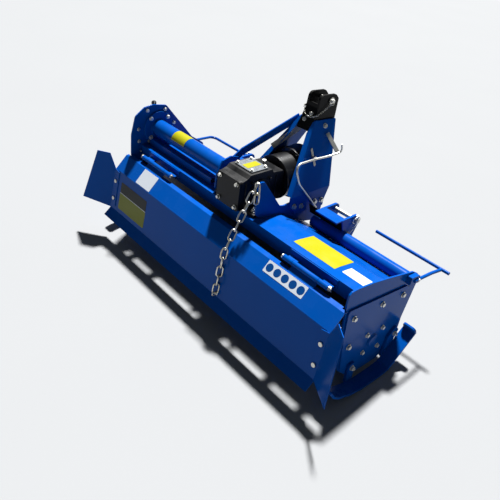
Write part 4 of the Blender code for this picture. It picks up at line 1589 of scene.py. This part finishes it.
@dataclass
class Hitch(Assembly):
    """The lower hitch brackets, their pins with linch pins and tethers, and the front guards."""

    pin: Pair = (0.350, 0.481)  # the hitch pins' axis, (y, z)
    nodes: tuple[Carried, ...] = (
        Carried(pair("hitch_bracket"), Coat.BLUE, 0.0012),
        Carried(pair("hitch_pin"), Coat.ZINC, 0.0012),
        Carried(pair("front_guard"), Coat.BLUE, 0.0012, 30.0),
    )

    def dress(self) -> None:
        """Adds the linch pins, the strips, the welds and the pads' bolts."""
        for side, tag in SIDES.items():
            self.linch_pin(side, tag)
            self.strip(side, tag)
        seams = []
        for side in SIDES:
            for x in (0.2440, 0.2580, 0.3690, 0.3830):
                seams.append(Bench.seam(side * x, (0.222, 0.4035), (0.245, 0.392)))
                seams.append(ring_line(side * x, *BEAM, 0.0335, start=20, sweep=110, steps=30))
        Weld().lay("hitch_welds", seams)
        pads = [((side * 0.8003, 0.292, 0.421), (side, 0, 0)) for side in SIDES]
        Bolt(0.014, 0.006, 0.010).fasten("guard_pad_bolts", pads)

    def strip(self, side: int, tag: str) -> None:
        """The black strip against the bracket's web, from the ear in to the mast.

        Args:
            side: 1 on the right, -1 on the left.
            tag: the side's name.
        """
        web = Face((0.2727, 0.4405), (0.2555, 0.4930))
        bar = Bench.block((0.206, 0.0535, 0.0025))
        Bench.domed(bar, UP, 0.006, -0.0008)
        Bench.bevelled(bar, (0.0006, 2, 0.5))
        bar.data.transform(web.matrix(side * 0.273, 0.0275, 0.0021))
        Bench.finished(bar, f"hitch_strip_{tag}", Coat.BLACK)

    def linch_pin(self, side: int, tag: str) -> None:
        """A linch pin through the hitch pin's end, its snap ring and a short chain to the bracket.

        Args:
            side: 1 on the right, -1 on the left.
            tag: the side's name.
        """
        x = side * 0.3915
        y, z = self.pin
        stem = Bench.cylinder(16, 0.0045, 0.046, Bench.at((x, y, z - 0.002)))
        top = Bench.at((x, y, z)).z
        with Bench.facing(stem, -UP):
            Bench.pull(0.0, 0.0, -0.004)
            Bench.resize(0.5, 0.5, 1.0)
            Bench.pick(stem, lambda c, n: n.z > FACING and c.z > top)
            Bench.pull(0.0, 0.0, 0.002)
            Bench.resize(1.7, 1.7, 1.0)
            Bench.pull(0.0, 0.0, 0.006)
        Bench.bevelled(stem, (0.0006, 2, 0.6))
        spot = Bench.at((x + side * 0.002, y - 0.004, z + 0.004))
        ring = Bench.torus(0.0195, 0.0019, 36, 8, spot, (0.25, QUARTER + 0.22, 0.0))
        with Bench.faces(ring, lambda c, n: c.z > top + 0.012):
            Bench.shift(0.0, 0.0, 0.0008)
        Bench.finished(Bench.joined(stem, ring), f"linch_pin_{tag}", Coat.ZINC)
        hang = [(0.004, -0.006, -0.015), (0.003, -0.020, -0.040)]
        hang += [(-0.002, -0.036, -0.056), (-0.012, -0.048, -0.058)]
        route = [(x + side * out, y + back, z + down) for out, back, down in hang]
        chain = LinkChain(0.0026, 0.0095, 0.0145, 14, 6).string(Bench.route(*route))
        Bench.ready(chain, f"linch_tether_{tag}", "frame", Coat.CHAIN)
        bolt = on_side(side * 0.3822, ((y - 0.050, z - 0.056),), side)
        Bolt(0.010, 0.006, 0.0075).fasten(f"tether_bolt_{tag}", bolt)


@dataclass
class Flap(Assembly):
    """The hung rear flap with its wings, hinge pins, bolts, labels and its chain."""

    main: Face = Face((-0.281, 0.153), (-0.245, 0.379))
    upper: Face = Face((-0.245, 0.379), (-0.182, 0.4455))
    wing_lift: float = 0.0044
    nodes: tuple[Carried, ...] = (
        Carried(("rear_flap",), Coat.BLUE, 0.0013, 20.0),
        Carried(pair("wing"), Coat.BLUE, 0.0009, 20.0),
        Carried(pair("hinge_pin"), Coat.ZINC, 0.0006, 40.0),
    )

    def dress(self) -> None:
        """Adds the bolts, the labels, the cotters and the chain."""
        self.wing_bolts()
        self.labels()
        self.cotters()
        self.chain()

    def spot(self, face: Face, x: float, up: float, lift: float) -> Spot:
        """A bolt's place and axis on one of the flap's faces, counted from the drive tube's axis.

        Args:
            face: the face.
            x: its place across the machine.
            up: how far it is up the face.
            lift: how far it stands off.

        Returns:
            The place and the axis.
        """
        made = face.matrix(x, up, lift)
        place = made.translation
        return (place.x, place.y - DRIVE_Y, place.z), tuple(made.col[2][:3])

    def wing_bolts(self) -> None:
        """Two round-headed bolts on each wing, with nuts inside the flap."""
        spots, nuts = [], []
        for side in SIDES:
            for up in (0.062, 0.163):
                spots.append(self.spot(self.main, side * 0.765, up, self.wing_lift))
                place, axis = self.spot(self.main, side * 0.765, up, -0.0041)
                nuts.append((place, tuple(-a for a in axis)))
        Bolt(0.021, 0.0045, 0.0, 0.0, 20).fasten("wing_bolts", spots, body="flap")
        Bolt(0.014, 0.007, 0.0105, 0.005).fasten("wing_nuts", nuts, body="flap")

    def labels(self) -> None:
        """The white sheets on the slope, one with five discs, and the two-tone plate on the main face."""
        reach = (Vector(self.upper.high) - Vector(self.upper.low)).length
        band = (reach * 0.38, reach * 0.985)
        high = (0.004, reach * 0.985)
        Label("flap_label_white", self.upper, (-0.595, -0.470), high, Coat.WHITE, "flap").build()
        strip = Label("flap_label_strip", self.upper, (0.369, 0.598), band, Coat.WHITE, "flap")
        strip.build()
        discs = []
        for k in range(5):
            x = 0.369 + 0.229 * (k + 0.5) / 5
            disc = Bench.cylinder(40, 0.0185, 0.0006)
            with Bench.facing(disc, UP):
                Bench.inset(0.0008)
            disc.data.transform(self.upper.matrix(x, sum(band) / 2, strip.lift + strip.thick + 0.0001))
            discs.append(disc)
        Bench.ready(Bench.joined(*discs), "flap_label_discs", "flap", Coat.DISC)
        for name, across, up, coat, *sizes in (
            ("maker_plate", (-0.716, -0.465), (0.024, 0.118), Coat.OLIVE, 0.010),
            ("maker_plate_band", (-0.714, -0.467), (0.1195, 0.180), Coat.NIGHT, 0.008),
            ("maker_plate_line", (-0.715, -0.466), (0.1165, 0.1200), Coat.WHITE, 0.0002, 0.0006),
        ):
            Label(name, self.main, across, up, coat, "flap", *sizes).build()

    def cotters(self) -> None:
        """Split pins at the hinge pins' ends."""
        made = []
        bends = (
            (0.0012, ((-0.001, -0.010), (0.0, 0.010), (0.004, 0.013))),
            (0.0011, ((0.0, 0.0), (0.001, -0.010), (0.004, -0.014))),
        )
        for side in SIDES:
            spot = Vector((side * 0.679, HINGE_PIN.y, HINGE_PIN.z))
            for radius, bend in bends:
                made.append(Bench.tube([spot + Vector((0, a, b)) for a, b in bend], radius))
        Bench.ready(Bench.joined(*made), "hinge_cotters", "frame", Coat.ZINC)

    def chain(self) -> None:
        """The adjusting chain, from the bracket's hook over the fold to the eye, and its spare links."""
        off = 0.0150
        head = Bench.at((0.1460, -0.0905, 0.6800))
        over = self.upper.matrix(0.1600, 0.0, off).translation
        under = self.main.matrix(0.1605, 0.2288, off).translation
        foot = self.main.matrix(0.1620, 0.020, off - 0.004).translation
        chain = LinkChain(0.0078, 0.0345, 0.0470)
        line = [head, over.lerp(under, 0.5), foot]
        obj = chain.string(line)
        obj.name = obj.data.name = "flap_chain_links"
        obj.data.materials.clear()
        obj.data.materials.append(Coat.CHAIN.value.material())
        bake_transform(obj)
        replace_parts(obj, "flap_chain")
        log.info("flap_chain_links: %d faces, bends between frame and flap", len(obj.data.polygons))
        spare = Bench.route((0.1480, -0.0920, 0.6790), (0.1600, -0.0990, 0.6350), (0.1620, -0.1000, 0.5880))
        Bench.ready(chain.string(spare, RIGHT, 0.0), "flap_chain_spare", "frame", Coat.CHAIN)
        self.eye()

    def eye(self) -> None:
        """The eye bolt that holds the chain's last link."""
        seat = self.main.matrix(0.1620, 0.016, 0.0)
        ring = Bench.torus(0.0105, 0.0035, 28, 10)
        with Bench.faces(ring, lambda c, n: c.x > 0.006):
            Bench.shift(0.0015, 0.0, 0.0)
        ring.data.transform(seat @ Matrix.Translation((0.0, 0.0, 0.0145)) @ Matrix.Rotation(QUARTER, 4, "Y"))
        boss = Bench.cylinder(20, 0.009, 0.004)
        Bench.domed(boss, UP, 0.003, 0.002)
        boss.data.transform(seat @ Matrix.Translation((0.0, 0.0, 0.0022)))
        Bench.finished(Bench.joined(ring, boss), "chain_eye", Coat.ZINC, body="flap")


def skid_tips(spot: Vector, way: Vector) -> bool:
    """True for the short upright edges at a skid's two turned-up tips.

    Args:
        spot: an edge's middle.
        way: its direction.

    Returns:
        Whether the edge is rounded.
    """
    outer = 0.790 < abs(spot.x) < 0.797 or abs(spot.x) > 0.857
    front = spot.z > 0.168 and spot.y > 0.20
    rear = spot.z > 0.105 and spot.y < -0.28
    return outer and (front or rear) and abs(way.x) < 0.1


@dataclass
class Skids(Assembly):
    """The sledge-shaped skids and their bolts."""

    nodes: tuple[Carried, ...] = (Carried(pair("skid"), Coat.BLUE, 0.0018, 20.0, corners=skid_tips),)

    def dress(self) -> None:
        """Adds the bolts that hold both skids."""
        spots = []
        for side in SIDES:
            spots += on_side(side * 0.7968, ((-0.043, 0.090), (0.238, 0.140)), side)
        Bolt(0.019, 0.009, 0.0135, 0.004).fasten("skid_bolts", spots)


@dataclass
class Rotor(Assembly):
    """The shaft, its flanges with bent blades and the blade bolts."""

    flanges: int = 6
    pitch: float = 0.240
    nodes: tuple[Carried, ...] = (
        Carried(("rotor_shaft",), Coat.STEEL, 0.0015),
        Carried(tuple(f"rotor_flange_{k}" for k in range(1, 7)), Coat.STEEL, 0.0010, 25.0),
    )

    def dress(self) -> None:
        """Adds two bolts on each blade."""
        spots = []
        for index in range(self.flanges):
            x = (index - (self.flanges - 1) / 2) * self.pitch
            for k in range(6):
                way = 1 if k % 2 else -1
                turn = math.radians(60 * k + 20 * index)
                y, z = math.sin(turn), math.cos(turn)
                places = [(AXLE[0] - reach * y, AXLE[1] + reach * z) for reach in (0.064, 0.086)]
                spots += on_side(x - way * 0.0062, places, -way)
        Bolt(0.013, 0.006).fasten("blade_bolts", spots, body="rotor")


# ---- the studio


@dataclass
class Studio:
    """The floor, the soft lights and the camera."""

    place: Point = (1.7188, -1.7345, 1.8222)
    azimuth: float = 45.1263
    elevation: float = 31.119
    roll: float = 7.3703
    lens: float = 41.61
    shift: Pair = (0.002014, -0.05304)

    def build(self) -> None:
        """Sets up everything that isn't the machine."""
        self.camera()
        self.floor()
        self.lights()
        bpy.context.scene.view_settings.view_transform = "Standard"

    def camera(self) -> None:
        """The camera at its place, turned about its own axis by the roll."""
        a, e, r = (math.radians(v) for v in (self.azimuth, self.elevation, self.roll))
        back = Vector((math.sin(a) * math.cos(e), -math.cos(a) * math.cos(e), math.sin(e)))
        level = Vector((math.cos(a), math.sin(a), 0.0))
        rise = back.cross(level)
        right = level * math.cos(r) + rise * math.sin(r)
        up = rise * math.cos(r) - level * math.sin(r)
        bpy.ops.object.camera_add()
        camera = bpy.context.object
        camera.matrix_world = Matrix.Translation(self.place) @ Matrix((right, up, back)).transposed().to_4x4()
        camera.data.sensor_width = 36.0
        camera.data.lens = self.lens
        camera.data.shift_x, camera.data.shift_y = self.shift
        camera.data.clip_end = 60.0
        bpy.context.scene.camera = camera

    def floor(self) -> None:
        """A wide pale floor."""
        bpy.ops.mesh.primitive_plane_add(size=24.0, location=(0.0, 0.0, -0.001))
        floor = Bench.placed()
        floor.name = "studio_floor"
        floor.data.materials.append(Coat.FLOOR.value.material())

    def lights(self) -> None:
        """A high key from the front left, a wide weak fill behind the camera, and a pale surround."""
        bpy.ops.object.light_add(type="SUN")
        key = bpy.context.object
        key.name = "key"
        key.data.energy = 10.6
        key.data.angle = 0.07
        key.rotation_euler = Vector((-1.5, 2.0, 4.7)).to_track_quat("Z", "Y").to_euler()
        bpy.ops.object.light_add(type="AREA", location=(2.6, -3.4, 2.2))
        fill = bpy.context.object
        fill.name = "fill"
        fill.data.size = 3.5
        fill.data.energy = 1.5
        fill.rotation_euler = Vector((2.6, -3.4, 1.85)).to_track_quat("Z", "Y").to_euler()
        world = bpy.data.worlds.new("studio")
        world.use_nodes = True
        sky = world.node_tree.nodes["Background"]
        sky.inputs["Color"].default_value = (0.74, 0.86, 1.0, 1.0)
        sky.inputs["Strength"].default_value = 0.10
        bpy.context.scene.world = world


def write_sizes() -> None:
    """Brings the view layer up to date."""
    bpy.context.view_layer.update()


def main() -> None:
    """Builds the studio, then each sub-assembly in turn."""
    logging.basicConfig(level=logging.INFO, format="%(name)s %(message)s")
    bpy.ops.object.select_all(action="DESELECT")
    for assembly in (Studio(), Hood(), Drive(), Gearbox(), Mast(), Hitch(), Flap(), Skids(), Rotor()):
        log.info("building %s", type(assembly).__name__)
        assembly.build()
    write_sizes()


if __name__ == "__main__":
    main()
